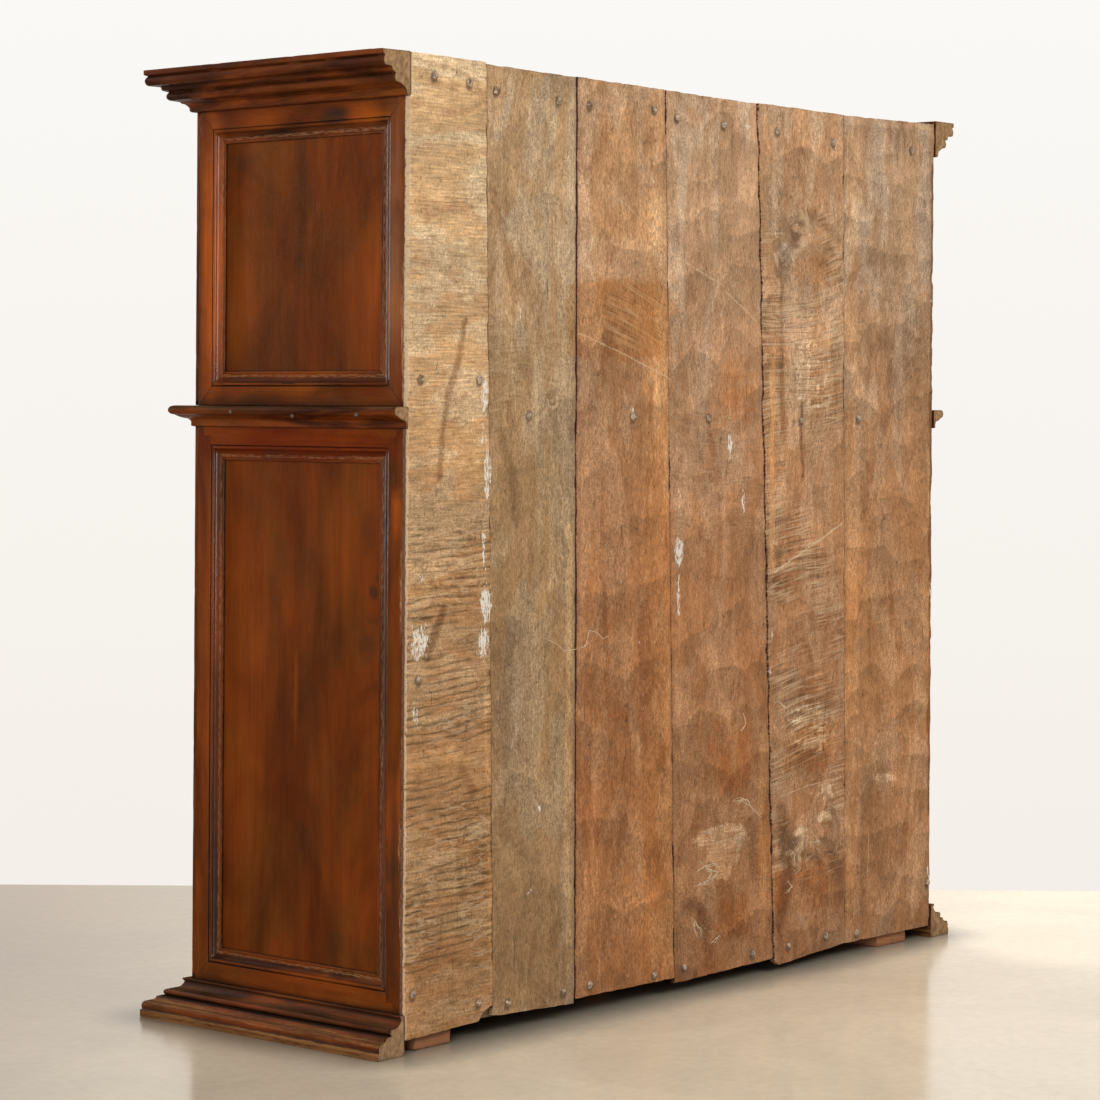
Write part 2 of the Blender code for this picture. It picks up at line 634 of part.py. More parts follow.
def cut_keyhole(tier, door, frame, key_z):
    """Round hole for the shank with a slot below it for the bit, right through the stile."""
    radius = KEY_SHANK_RADIUS + BORE_PLAY
    through = (-DOOR_THICKNESS - BORE_END_PLAY, BORE_END_PLAY)
    drill(frame, door, f"cut_{tier}_keyhole", radius, through, outward(KNOB_X, key_z))
    slot_half = KEY_BIT_THICKNESS / 2 + BORE_PLAY
    low = (KNOB_X - slot_half, FRONT_Y - BORE_END_PLAY, key_z - KEY_BIT_REACH - BORE_PLAY)
    high = (KNOB_X + slot_half, DOOR_REAR_Y + BORE_END_PLAY, key_z)
    carve(frame, add_box(f"cut_{tier}_keyslot", door, METAL, low, high))


def add_key(tier, door, key_z):
    """Key: shank through the stile, ring bow in front of it and bit inside the lock."""
    body = Body(f"{tier}_key_axis", (KNOB_X, FRONT_Y, key_z), door)
    place = outward(KNOB_X, key_z)
    tip = FRONT_Y - LOCK_FLOOR_Y + BOLT_OFFSET
    shank = [(KEY_SHANK_RADIUS, tip), (KEY_SHANK_RADIUS, KEY_SHANK_OUT)]
    key = add_turned(f"{tier}_key", body, METAL, shank, place, PIN_STEPS)
    bow_y = FRONT_Y - KEY_SHANK_OUT - KEY_BOW_HOLE
    half = KEY_BOW_THICKNESS / 2

    def across_key(high, deep, along):
        return (KNOB_X + along, bow_y + deep, key_z + high)

    bow = [
        (KEY_BOW_HOLE, -half),
        (KEY_BOW_RADIUS, -half),
        (KEY_BOW_RADIUS, half),
        (KEY_BOW_HOLE, half),
    ]
    points, faces = turned_parts(bow, across_key, ROUND_STEPS)
    last_row = (len(bow) - 1) * ROUND_STEPS
    closing = [
        (last_row + k, last_row + (k + 1) % ROUND_STEPS, (k + 1) % ROUND_STEPS, k) for k in range(ROUND_STEPS)
    ]
    ring = add_solid(f"join_{tier}_key_bow", body, METAL, points, faces[2:] + closing)
    carve(key, ring, "UNION")
    bit_rear = LOCK_FLOOR_Y - 2 * BOLT_OFFSET
    bit_half = KEY_BIT_THICKNESS / 2
    low = (KNOB_X - bit_half, bit_rear - KEY_BIT_LENGTH, key_z - KEY_BIT_REACH)
    high = (KNOB_X + bit_half, bit_rear, key_z)
    carve(key, add_box(f"join_{tier}_key_bit", body, METAL, low, high), "UNION")


clear_scene()
STAINED = finish("stained_walnut", (0.115, 0.045, 0.022), 0.38)
PANEL = finish("stained_panel", (0.150, 0.062, 0.030), 0.42)
CARCASS = finish("plain_carcass_wood", (0.260, 0.150, 0.080), 0.70)
RAW_BOARD = finish("raw_back_boards", (0.300, 0.205, 0.125), 0.80)
RAW_BLOCK = finish("raw_foot_blocks", (0.330, 0.150, 0.085), 0.80)
METAL = finish("forged_iron", (0.070, 0.065, 0.060), 0.55, 0.9)

carcass = Body("carcass")
add_carcass_boards(carcass)
for tier_name in TIER_SPANS:
    for side_name in SIDES:
        add_end(carcass, tier_name, side_name)
add_moulding(carcass, "cornice", CORNICE, TOTAL_HEIGHT)
add_moulding(carcass, "waist_moulding", WAIST_MOULDING, WAIST_TOP)
add_moulding(carcass, "base_moulding", BASE_MOULDING, BASE_HEIGHT)
add_back_boards(carcass)
add_feet(carcass)
add_pivot_pins(carcass)
for tier_name in DOOR_SPANS:
    for side_name in SIDES:
        door_body, door_frame = add_door(tier_name, side_name)
        if side_name == "right":
            add_lock(tier_name, door_body, door_frame)
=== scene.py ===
import json
import math
from dataclasses import dataclass

import bmesh
import bpy
import numpy as np
from mathutils import Matrix, Vector

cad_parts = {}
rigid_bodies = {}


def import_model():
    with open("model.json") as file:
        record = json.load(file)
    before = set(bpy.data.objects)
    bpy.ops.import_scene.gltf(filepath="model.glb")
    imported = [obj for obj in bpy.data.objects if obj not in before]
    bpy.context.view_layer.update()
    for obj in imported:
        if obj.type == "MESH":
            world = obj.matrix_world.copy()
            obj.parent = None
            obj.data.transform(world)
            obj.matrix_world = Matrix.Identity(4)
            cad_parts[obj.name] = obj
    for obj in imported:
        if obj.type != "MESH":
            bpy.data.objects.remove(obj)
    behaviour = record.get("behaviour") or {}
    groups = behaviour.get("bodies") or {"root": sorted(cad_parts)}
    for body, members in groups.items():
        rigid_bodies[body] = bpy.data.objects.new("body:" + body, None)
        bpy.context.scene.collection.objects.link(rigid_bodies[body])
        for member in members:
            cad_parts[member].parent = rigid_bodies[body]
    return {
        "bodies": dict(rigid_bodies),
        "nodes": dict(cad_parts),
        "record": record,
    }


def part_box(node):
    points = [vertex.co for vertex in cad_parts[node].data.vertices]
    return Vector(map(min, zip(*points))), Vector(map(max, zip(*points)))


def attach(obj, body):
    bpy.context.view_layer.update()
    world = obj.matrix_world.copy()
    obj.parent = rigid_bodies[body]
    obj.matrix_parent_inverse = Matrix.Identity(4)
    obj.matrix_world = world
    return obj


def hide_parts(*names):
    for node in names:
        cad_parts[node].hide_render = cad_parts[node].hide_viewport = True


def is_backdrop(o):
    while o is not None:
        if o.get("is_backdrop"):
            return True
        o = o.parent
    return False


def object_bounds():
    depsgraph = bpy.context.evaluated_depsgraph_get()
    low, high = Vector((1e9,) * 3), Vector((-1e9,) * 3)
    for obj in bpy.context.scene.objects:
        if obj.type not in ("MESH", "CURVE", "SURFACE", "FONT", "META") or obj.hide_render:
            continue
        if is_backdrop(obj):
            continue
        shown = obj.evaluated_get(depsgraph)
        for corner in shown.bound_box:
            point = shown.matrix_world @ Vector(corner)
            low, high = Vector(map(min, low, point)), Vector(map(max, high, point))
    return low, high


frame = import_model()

# Looks of an old two-tier sideboard seen from behind: rough nailed back boards, stained and varnished
# walnut ends and mouldings, and a plain studio round it. Metres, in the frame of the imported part.

# Camera: where it stands, which way it turns, and the picture it takes
CAMERA_PLACE = (4.5357, 3.7875, 1.0647)
CAMERA_AZIMUTH_DEG = 130.378
CAMERA_ROLL_DEG = 0.353
SENSOR_WIDTH_MM = 36.0
LENS_MM = 102.29
VIEW_DROP = 0.1288

# Stage: the backdrop stands square to the view at this distance from the camera
BACKDROP_DISTANCE = 6.94
BACKDROP_SIZE = (40.0, 16.0)
FLOOR_SIZE = 40.0
# A painted shadow darkens the floor round the object's footprint, from this inset to this reach
CONTACT_INSET = 0.03
CONTACT_REACH = 0.15
# Painted shade: the backdrop is darker and warmer at its foot than at its top, over this height
WALL_FOOT = (0.905, 0.860, 0.805)
WALL_TOP = (0.975, 0.965, 0.945)
WALL_FADE = 2.4
# Painted shade: the floor's colour is darker and warmer at the left of the picture than at the right,
# between these places across the view
FLOOR_LEFT = (0.320, 0.238, 0.155)
FLOOR_RIGHT = (0.860, 0.750, 0.570)
FLOOR_SPAN = (-1.35, 0.15)
CONTACT_SHADE = 0.35
# The world lights evenly and weakly, and shows as near white
WORLD_TINT = (1.0, 0.985, 0.965)
WORLD_LIGHT = 0.20
WORLD_SEEN = 0.97

# Black lines and dirt beside the joints of the back boards fade over these distances
SEAM_REACH = 0.0018
DIRT_REACH = 0.0110

UPRIGHT = Vector((0.0, 0.0, 1.0))
REARWARD = Vector((0.0, 1.0, 0.0))

# Mesh fineness
MERGE_DISTANCE = 1e-5
FLAT_ANGLE = math.radians(0.3)
SHARP_ANGLE = math.radians(25)
SMOOTH_ANGLE = math.radians(42)
RIDGE_FLATNESS = 0.985
LEVEL_SLOPE = 0.12
TOP_SLOPE = 0.90
WAIST_SLOPE = 0.35
BOARD_COLUMN = 0.0050
EDGE_ROWS = (0.0, 0.0012, 0.0030)

# Shape of the back boards: how far in their edges waver, how deep their ends are bitten, how far they bow,
# how far their edges are rounded and broken away (depth, reach), and the depths of a knot's heart and rim
EDGE_REACH = 0.02
END_BITE = 0.0040
BOW_DEPTH = 0.0006
EDGE_ROUND = (0.0011, 0.0016)
EDGE_BREAK = (0.0022, 0.0045)
KNOT_HEART, KNOT_RIM = 0.0046, 0.0030

# The end frames are let into what they stand on, so no light comes under them
SEAT_SINK = 0.0005
# Steps between the cuts that let each kind of piece bend with its wear, and the depth of its chips
FRONT_STEP, RUN_STEP, MOULDING_CHIP = 0.010, 0.006, 0.0014
END_STEP, END_CHIP, END_PANEL_STEP = 0.016, 0.0004, 0.007
DOOR_STEP, DOOR_CHIP, DOOR_PANEL_STEP = 0.020, 0.0003, 0.018
POST_STEP, BOARD_STEP, CLEAT_STEP, PLAIN_CHIP = 0.012, 0.025, 0.02, 0.0006
BLOCK_STEPS = ((0, 0.006), (1, 0.012), (2, 0.006))
BLOCK_WEAR = {"width": 0.0015, "wobble": 0.0012, "chip": 0.0020}
KNOB_WEAR = {"width": 0.0, "wobble": 0.0001, "chip": 0.0}
TIERS = ("upper", "lower")
SIDES = ("left", "right")


@dataclass
class BoardLook:
    """Colours and tool marks of one back board."""

    top: tuple
    middle: tuple
    foot: tuple
    mark_spacing: float
    mark_length: float
    mark_slope: float
    mark_spans: tuple
    facet_size: tuple
    facet_depth: float
    row: float
    fibre: tuple = (300.0, 60.0, 85.0)
    facet_tone: float = 1.0
    bend: float = 0.05
    across: bool = False


# Saw marks have a spacing, a length, a slope and spans of height (low, high, strength).
# Adze facets have a width and a height, and a depth. The row is the step of the mesh up the board.
BOARD_LOOKS = {
    "back_board_1": BoardLook(
        (0.520, 0.364, 0.209), (0.365, 0.215, 0.104), (0.322, 0.178, 0.080), 0.0066, 0.045, -0.04,
        ((0.02, 0.90, 0.7), (0.98, 1.57, 0.35)), (0.16, 0.10), 0.0003, 0.0018,
        fibre=(22.0, 60.0, 300.0), facet_tone=0.3, bend=0.012, across=True,
    ),
    "back_board_2": BoardLook(
        (0.375, 0.256, 0.150), (0.272, 0.174, 0.092), (0.264, 0.167, 0.089), 0.0050, 0.050, -0.02,
        ((0.95, 1.25, 0.4), (0.20, 0.60, 0.2)), (0.12, 0.16), 0.0006, 0.0040, facet_tone=0.6,
    ),
    "back_board_3": BoardLook(
        (0.395, 0.236, 0.128), (0.284, 0.135, 0.061), (0.306, 0.140, 0.058), 0.0044, 0.280, 0.30,
        ((1.14, 1.30, 1.0), (0.60, 1.02, 0.15)), (0.13, 0.11), 0.0009, 0.0040,
        facet_tone=0.8, bend=0.015,
    ),
    "back_board_4": BoardLook(
        (0.408, 0.268, 0.168), (0.322, 0.160, 0.076), (0.265, 0.124, 0.054), 0.0060, 0.070, 0.04,
        ((0.80, 1.10, 0.3), (0.10, 0.35, 0.3)), (0.090, 0.060), 0.0018, 0.0040,
    ),
    "back_board_5": BoardLook(
        (0.414, 0.256, 0.147), (0.324, 0.171, 0.085), (0.290, 0.149, 0.074), 0.0056, 0.150, -0.14,
        ((0.08, 1.46, 1.0),), (0.10, 0.075), 0.0016, 0.0040,
        facet_tone=0.8, bend=0.030,
    ),
    "back_board_6": BoardLook(
        (0.354, 0.238, 0.152), (0.322, 0.166, 0.078), (0.292, 0.156, 0.079), 0.0060, 0.060, -0.05,
        ((0.30, 0.50, 0.2),), (0.085, 0.048), 0.0026, 0.0040,
    ),
}
# Joints of the boards, from the outer edge of the first board to that of the last: how far each wanders,
# how deep its edges are bitten and how black it is. Both boards of a joint take the same line.
FIRM, LOOSE = 0.0016, 0.0050
FINE, BROKEN, OUTER = 0.0014, 0.0042, 0.0022
JOINT_WANDER = (0.0, FIRM, FIRM, FIRM, LOOSE, FIRM, 0.0)
JOINT_BITES = (OUTER, FINE, FINE, FINE, BROKEN, FINE, OUTER)
JOINT_SEAMS = (0.0, 0.30, 0.66, 0.46, 0.44, 0.42, 0.0)
# Washboard grooves of the first board: (low, high, spacing, slope, depth, darkness); the darkness is painted
# shade in the grooves
SAW_GROOVES = ((0.98, 1.57, 0.0066, -0.03, 0.00030, 0.62), (0.10, 0.90, 0.0135, -0.06, 0.00065, 1.0))

# Marks on the back boards as points (x, z): soft dark streaks with a width and a strength
DARK_STREAKS = (
    (((0.641, 1.212), (0.699, 1.023), (0.701, 0.951)), 0.017, 0.75),
    (((0.694, 0.732), (0.730, 0.651)), 0.020, 0.8),
    (((0.551, 1.027), (0.520, 0.960), (0.505, 0.882)), 0.030, 0.5),
    (((-0.324, 1.075), (-0.324, 1.010), (-0.326, 0.940)), 0.010, 0.9),
    (((0.218, 0.895), (0.218, 0.837)), 0.004, 0.9),
    (((0.645, 0.462), (0.612, 0.418)), 0.026, 0.6),
    (((0.650, 0.312), (0.636, 0.243)), 0.020, 0.5),
    (((-0.773, 1.560), (-0.772, 0.250)), 0.012, 0.95),
    (((-0.250, 1.480), (-0.262, 1.020)), 0.016, 0.6),
    (((-0.262, 0.300), (-0.290, 0.190), (-0.262, 0.090)), 0.050, 0.75),
    (((-0.440, 0.215), (-0.465, 0.120)), 0.045, 0.6),
    (((-0.350, 0.215), (-0.390, 0.200)), 0.030, 0.6),
    (((-0.262, 1.425), (-0.300, 1.380), (-0.250, 1.330)), 0.040, 0.7),
    (((-0.360, 1.440), (-0.440, 1.400)), 0.030, 0.55),
    (((0.028, 0.160), (-0.020, 0.150), (-0.030, 0.080)), 0.030, 0.6),
    (((-0.165, 0.290), (-0.185, 0.200)), 0.040, 0.5),
)
# Thin pale scratches and gouges
PALE_SCRATCHES = (
    (((0.235, 1.438), (0.096, 1.365)), 0.004, 0.6),
    (((0.346, 1.197), (0.224, 1.165), (0.082, 1.119)), 0.005, 0.7),
    (((0.082, 1.347), (-0.077, 1.293)), 0.005, 0.7),
    (((-0.084, 1.282), (-0.180, 1.231)), 0.006, 0.7),
    (((-0.239, 0.758), (-0.461, 0.845)), 0.007, 1.0),
    (((-0.256, 0.331), (-0.350, 0.344), (-0.463, 0.352)), 0.004, 0.7),
    (((-0.560, 0.233), (-0.557, 0.147)), 0.003, 0.8),
    (((-0.727, 0.393), (-0.721, 0.303)), 0.004, 0.6),
)
# Warm orange streaks where the wood is fresh
WARM_STREAKS = (
    (((0.099, 1.050), (0.085, 0.538), (0.069, 0.065)), 0.020, 1.0),
    (((0.122, 1.420), (0.120, 0.800), (0.108, 0.060)), 0.100, 0.55),
    (((-0.228, 1.177), (-0.233, 0.762)), 0.018, 0.9),
    (((-0.230, 0.500), (-0.225, 0.250)), 0.020, 0.5),
    (((-0.210, 0.420), (-0.205, 0.060)), 0.030, 0.6),
    (((-0.490, 1.600), (-0.500, 0.800), (-0.500, 0.060)), 0.060, 0.48),
    (((0.584, 0.640), (0.568, 0.300), (0.560, 0.080)), 0.010, 0.7),
    (((0.366, 0.860), (0.362, 0.080)), 0.016, 1.0),
    (((-0.695, 1.640), (-0.760, 1.633)), 0.010, 1.0),
)
# Patches scraped pale, with swirling fibres, partly painted as a sheen: centre x and z, half width and half
# height, strength
SCRAPED_AND_SHEEN_PATCHES = (
    (-0.080, 0.277, 0.095, 0.026, 0.95),
    (-0.088, 0.248, 0.066, 0.034, 0.95),
    (-0.086, 0.216, 0.034, 0.030, 0.85),
    (-0.360, 0.460, 0.110, 0.070, 0.55),
    (-0.330, 0.262, 0.034, 0.012, 0.60),
    (-0.410, 0.280, 0.044, 0.018, 0.62),
    (-0.296, 0.224, 0.024, 0.010, 0.62),
    (-0.400, 0.330, 0.070, 0.022, 0.45),
    (-0.280, 1.362, 0.045, 0.028, 0.60),
    (-0.330, 1.405, 0.040, 0.030, 0.30),
    (-0.350, 1.130, 0.120, 0.120, 0.34),
    (-0.600, 0.337, 0.090, 0.016, 0.45),
    (0.385, 1.118, 0.035, 0.040, 0.20),
    (0.150, 1.340, 0.060, 0.040, 0.20),
)
# Grey bloom, warm brown patches and tangles of torn pale fibres: centre x and z, half width and height,
# strength
ASH_PATCHES = (
    (0.552, 1.280, 0.011, 0.190, 0.80), (0.500, 1.230, 0.030, 0.110, 0.45),
    (0.240, 1.335, 0.150, 0.046, 0.90),
    (0.250, 1.450, 0.050, 0.045, 0.55), (-0.020, 1.560, 0.035, 0.070, 0.45),
    (-0.290, 1.530, 0.060, 0.050, 0.45),
    (-0.620, 1.300, 0.070, 0.090, 0.45), (-0.560, 0.420, 0.070, 0.050, 0.45),
    (-0.650, 0.560, 0.060, 0.060, 0.40),
    (-0.610, 1.480, 0.060, 0.060, 0.35), (0.500, 0.520, 0.030, 0.160, 0.40),
    (-0.100, 1.250, 0.060, 0.060, 0.35),
)
BROWN_PATCHES = (
    (0.225, 1.222, 0.180, 0.082, 1.0), (-0.120, 1.100, 0.090, 0.100, 0.45),
    (-0.360, 0.420, 0.120, 0.070, 0.55),
    (-0.100, 0.420, 0.110, 0.100, 0.50), (-0.330, 0.150, 0.120, 0.060, 0.65),
    (0.240, 0.560, 0.070, 0.120, 0.40),
    (-0.120, 0.120, 0.080, 0.060, 0.55), (-0.360, 1.330, 0.100, 0.060, 0.45),
)
TANGLES = (
    (-0.040, 0.190, 0.040, 0.060, 0.9), (-0.110, 0.310, 0.040, 0.030, 0.8),
    (-0.050, 0.100, 0.050, 0.040, 0.7),
    (-0.340, 0.235, 0.060, 0.040, 0.8), (-0.320, 0.120, 0.040, 0.050, 0.6),
    (-0.280, 1.345, 0.050, 0.030, 0.7),
    (-0.100, 0.470, 0.060, 0.060, 0.5), (0.060, 0.800, 0.020, 0.100, 0.7),
    (-0.230, 1.500, 0.020, 0.090, 0.6),
    (0.590, 0.700, 0.020, 0.200, 0.6), (0.440, 0.300, 0.040, 0.120, 0.4),
    (-0.140, 0.850, 0.030, 0.120, 0.5),
)
# Patches of old white paint: centre x and z, half width and half height, strength
WHITE_PATCHES = (
    (0.588, 1.085, 0.012, 0.050, 0.68),
    (0.592, 1.020, 0.006, 0.030, 0.60),
    (0.580, 0.950, 0.011, 0.070, 0.66),
    (0.588, 0.830, 0.008, 0.050, 0.62),
    (0.583, 0.735, 0.022, 0.040, 0.74),
    (0.588, 0.668, 0.018, 0.040, 0.70),
    (0.748, 0.675, 0.030, 0.042, 0.66),
    (0.760, 0.560, 0.010, 0.030, 0.50),
    (0.745, 0.780, 0.016, 0.020, 0.45),
    (-0.098, 0.997, 0.010, 0.030, 0.62),
    (-0.142, 0.889, 0.007, 0.036, 0.60),
    (0.052, 0.805, 0.018, 0.040, 0.72),
    (0.052, 0.724, 0.007, 0.064, 0.62),
    (0.055, 0.900, 0.006, 0.050, 0.45),
    (-0.152, 1.592, 0.012, 0.010, 0.62),
    (0.440, 0.374, 0.007, 0.012, 0.66),
    (0.465, 0.232, 0.006, 0.009, 0.60),
    (0.170, 0.648, 0.006, 0.006, 0.80),
    (0.188, 1.058, 0.010, 0.010, 0.60),
    (-0.240, 1.420, 0.008, 0.050, 0.40),
    (-0.773, 0.880, 0.005, 0.030, 0.62),
    (-0.773, 0.700, 0.005, 0.022, 0.66),
    (-0.772, 0.560, 0.004, 0.030, 0.55),
    (-0.770, 1.300, 0.004, 0.030, 0.50),
    (-0.772, 0.130, 0.006, 0.020, 0.62),
    (-0.228, 0.560, 0.004, 0.040, 0.55),
    (-0.232, 0.640, 0.004, 0.020, 0.60),
)
# Masks of the patches: how square their outlines are, and where they lie
ROUND, SQUARE = 2.0, 5.0
BOARD_PATCHES = {
    "pale": (ROUND, SCRAPED_AND_SHEEN_PATCHES),
    "white": (ROUND, WHITE_PATCHES),
    "ash": (ROUND, ASH_PATCHES),
    "brown": (SQUARE, BROWN_PATCHES),
    "tangle": (ROUND, TANGLES),
}
# Torn pale fibres that stand off the boards, and a loose thread, as lines of points (x, z)
LOOSE_FIBRES = (
    ((-0.115, 0.336), (-0.158, 0.335), (-0.174, 0.315), (-0.202, 0.299)),
    ((-0.127, 0.332), (-0.146, 0.338), (-0.168, 0.323)),
    ((-0.013, 0.235), (-0.043, 0.216), (-0.073, 0.210), (-0.048, 0.197), (0.002, 0.191)),
    ((-0.007, 0.217), (-0.034, 0.225), (-0.061, 0.226), (-0.076, 0.215)),
    ((-0.028, 0.192), (-0.049, 0.208), (-0.040, 0.220)),
    ((0.007, 0.136), (-0.019, 0.109), (-0.023, 0.096)),
    ((-0.050, 0.081), (-0.077, 0.092)),
    ((-0.005, 0.125), (0.004, 0.112), (-0.011, 0.099)),
    ((-0.147, 0.498), (-0.153, 0.479), (-0.140, 0.464)),
    ((-0.247, 0.516), (-0.267, 0.505), (-0.279, 0.498)),
    ((-0.298, 0.224), (-0.319, 0.215), (-0.315, 0.200)),
    ((-0.283, 0.149), (-0.303, 0.154), (-0.287, 0.171)),
    ((-0.358, 0.234), (-0.401, 0.232)),
    ((-0.229, 0.475), (-0.240, 0.482), (-0.243, 0.470)),
    ((0.428, 0.668), (0.395, 0.658), (0.380, 0.645), (0.345, 0.642), (0.318, 0.646), (0.308, 0.674),
     (0.290, 0.672), (0.272, 0.659), (0.252, 0.664)),
)
FIBRE_RADIUS = 0.0007
FIBRE_COPIES = 2
FIBRE_SIDES = 6
# Knots: centre x and z, radius
KNOTS = (
    (0.408, 1.077, 0.007), (-0.316, 1.406, 0.017), (-0.268, 1.352, 0.013), (-0.413, 0.250, 0.016),
    (-0.312, 0.240, 0.014), (-0.318, 0.202, 0.009),
)

# Forged nails in the back boards (x, z), in rows over the top, waist and bottom boards
BACK_NAILS = (
    (0.719, 1.615), (0.632, 1.609), (0.563, 1.602), (0.400, 1.599), (0.316, 1.597), (0.134, 1.604),
    (0.066, 1.593), (-0.075, 1.591), (-0.241, 1.591), (-0.424, 1.583), (-0.697, 1.586),
    (0.748, 1.112), (0.602, 1.112), (0.472, 1.053), (0.188, 1.050), (-0.035, 1.049), (-0.324, 1.045),
    (-0.517, 1.048), (0.749, 0.616),
    (0.758, 0.098), (0.595, 0.062), (0.518, 0.051), (0.372, 0.049), (0.301, 0.052), (0.118, 0.045),
    (0.030, 0.046), (-0.178, 0.043), (-0.292, 0.045), (-0.413, 0.049), (-0.521, 0.041), (-0.768, 0.111),
)
RUST_SHIFT, RUST_HALF = (0.002, -0.003), (0.011, 0.013)
NAIL_RADIUS = 0.0064
NAIL_HEIGHT = 0.0044
NAIL_SIDES = 10
# Rings of a nail from its root to its crown: share of the radius, share of the height
NAIL_RINGS = ((0.55, -1.2), (1.0, -0.25), (1.05, 0.15), (0.78, 0.62), (0.36, 0.95))
# Small nails along the waist moulding of the right end (y, z)
WAIST_NAILS = ((-0.099, 1.055), (0.051, 1.049), (0.200, 1.052))
WAIST_NAIL_RADIUS = 0.0035
WAIST_NAIL_SINK = 0.0012

# Plates round the keyholes
PLATE_HALF = (0.0150, 0.0270)
PLATE_THICKNESS = 0.0012
PLATE_SINK = 0.0004
PLATE_SIDES = 48
PLATE_PIN_RISE = 0.0215
PLATE_PIN_RADIUS = 0.0022
PLATE_PIN_HEIGHT = 0.6 * PLATE_PIN_RADIUS
PLATE_WAVE = 0.07
KEYHOLE_EYE = 0.0052
KEYHOLE_SLOT = 0.0026
KEYHOLE_DROP = 0.0125

# Marks on the right end: (y, z, half width, half height, strength) of orange patches, pale patches of painted
# sheen, red and black patches
END_MARKS = {
    "upper_end_right_frame": {
        "warm": (
            (-0.182, 1.320, 0.030, 0.300, 0.95), (0.180, 1.552, 0.050, 0.018, 0.7),
            (-0.060, 1.556, 0.070, 0.016, 0.6),
            (0.250, 1.240, 0.018, 0.040, 0.5), (0.030, 1.090, 0.120, 0.010, 0.35),
        ),
        # A painted sheen: pale patch on the rear stile
        "painted_sheen": ((0.252, 1.330, 0.022, 0.260, 0.74),),
        "dark": (
            (0.115, 1.554, 0.050, 0.020, 0.9), (0.258, 1.390, 0.016, 0.030, 0.7),
            (0.250, 1.140, 0.016, 0.030, 0.5),
        ),
    },
    "upper_end_right_panel": {
        "warm": ((0.195, 1.300, 0.030, 0.110, 0.30), (-0.120, 1.250, 0.050, 0.120, 0.15)),
        "dark": (
            (0.020, 1.310, 0.020, 0.026, 0.36), (-0.140, 1.490, 0.070, 0.024, 0.42),
            (0.190, 1.440, 0.030, 0.050, 0.30),
            (0.060, 1.200, 0.050, 0.040, 0.22),
        ),
    },
    "lower_end_right_frame": {
        "warm": (
            (0.262, 0.887, 0.014, 0.040, 0.8), (0.258, 0.680, 0.014, 0.120, 0.10),
            (0.080, 0.100, 0.120, 0.012, 0.6),
            (-0.180, 0.700, 0.026, 0.240, 0.35),
        ),
        "red": ((0.020, 1.003, 0.300, 0.045, 1.0), (0.258, 0.450, 0.026, 0.420, 0.12)),
        "dark": (
            (0.236, 0.862, 0.012, 0.060, 0.9), (0.258, 0.300, 0.020, 0.240, 0.66),
            (-0.020, 0.985, 0.060, 0.014, 0.5),
        ),
    },
    "lower_end_right_panel": {
        "warm": (
            (-0.105, 0.640, 0.070, 0.460, 0.24), (0.236, 0.780, 0.012, 0.050, 0.7),
            (0.020, 0.576, 0.007, 0.085, 0.4),
            (0.120, 0.820, 0.050, 0.120, 0.22),
        ),
        "dark": (
            (0.200, 0.755, 0.013, 0.018, 1.1), (0.201, 0.712, 0.020, 0.014, 0.55),
            (0.070, 0.420, 0.110, 0.280, 0.30), (0.190, 0.850, 0.026, 0.060, 0.50),
            (0.130, 0.165, 0.160, 0.030, 0.30),
            (-0.120, 0.900, 0.060, 0.050, 0.45), (0.210, 0.780, 0.010, 0.012, 0.80),
            (0.185, 0.660, 0.030, 0.040, 0.45),
            (0.040, 0.760, 0.060, 0.140, 0.35), (0.205, 0.600, 0.016, 0.030, 0.50),
            (-0.020, 0.640, 0.040, 0.260, 0.30),
        ),
    },
}
# The plinth of the base moulding is rubbed bare, and the ridge above it (height, half height) in part
PLINTH_HEIGHT = 0.0125
BARE_RIDGE = (0.0265, 0.0080)
# Painted shade lies in the grooves of the base moulding at these heights
BASE_GROOVES = (0.0130, 0.0365, 0.0610)

# The rear edges of the end frames are rubbed pale
ARRIS_WEAR = 0.52
ARRIS_WIDTH = 0.0040

# The first board stands a little off the ends of the cornice and of the base moulding
SLIT_WIDTH = 0.0046
SLIT_FADE = 0.003
BASE_SLIT_SHARE = 0.6
# Above the waist the first board's outer flank is less dark: bare wood, partly painted light where its edge
# catches the light
PALE_FLANK = 0.42
WAIST_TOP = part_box("waist_moulding_right")[1].z
CORNICE_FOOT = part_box("cornice_right")[0].z
BASE_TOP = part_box("base_moulding_right")[1].z
SEEDS = {node: index for index, node in enumerate(sorted(frame["nodes"]))}
BODY_OF = {node: body for body, nodes in frame["record"]["behaviour"]["bodies"].items() for node in nodes}
SLOT_OF = {row["node"]: row["material_slot"] for row in frame["record"]["subparts"]}


def clear_startup():
    """Removes what a fresh Blender file holds besides the frame."""
    kept = set(frame["nodes"].values()) | set(frame["bodies"].values())
    for extra in [obj for obj in bpy.data.objects if obj not in kept]:
        bpy.data.objects.remove(extra)


# Noise and masks over a plane

def lattice(column, row, seed):
    """Repeatable value from 0 to 1 for each whole-number point of a plane."""
    mixed = (column * 374761393 + row * 668265263 + (seed + 1) * 1442695041) & 0xFFFFFFFF
    mixed = ((mixed ^ (mixed >> 13)) * 1274126177) & 0xFFFFFFFF
    return ((mixed ^ (mixed >> 16)) & 0xFFFF) / 65535.0


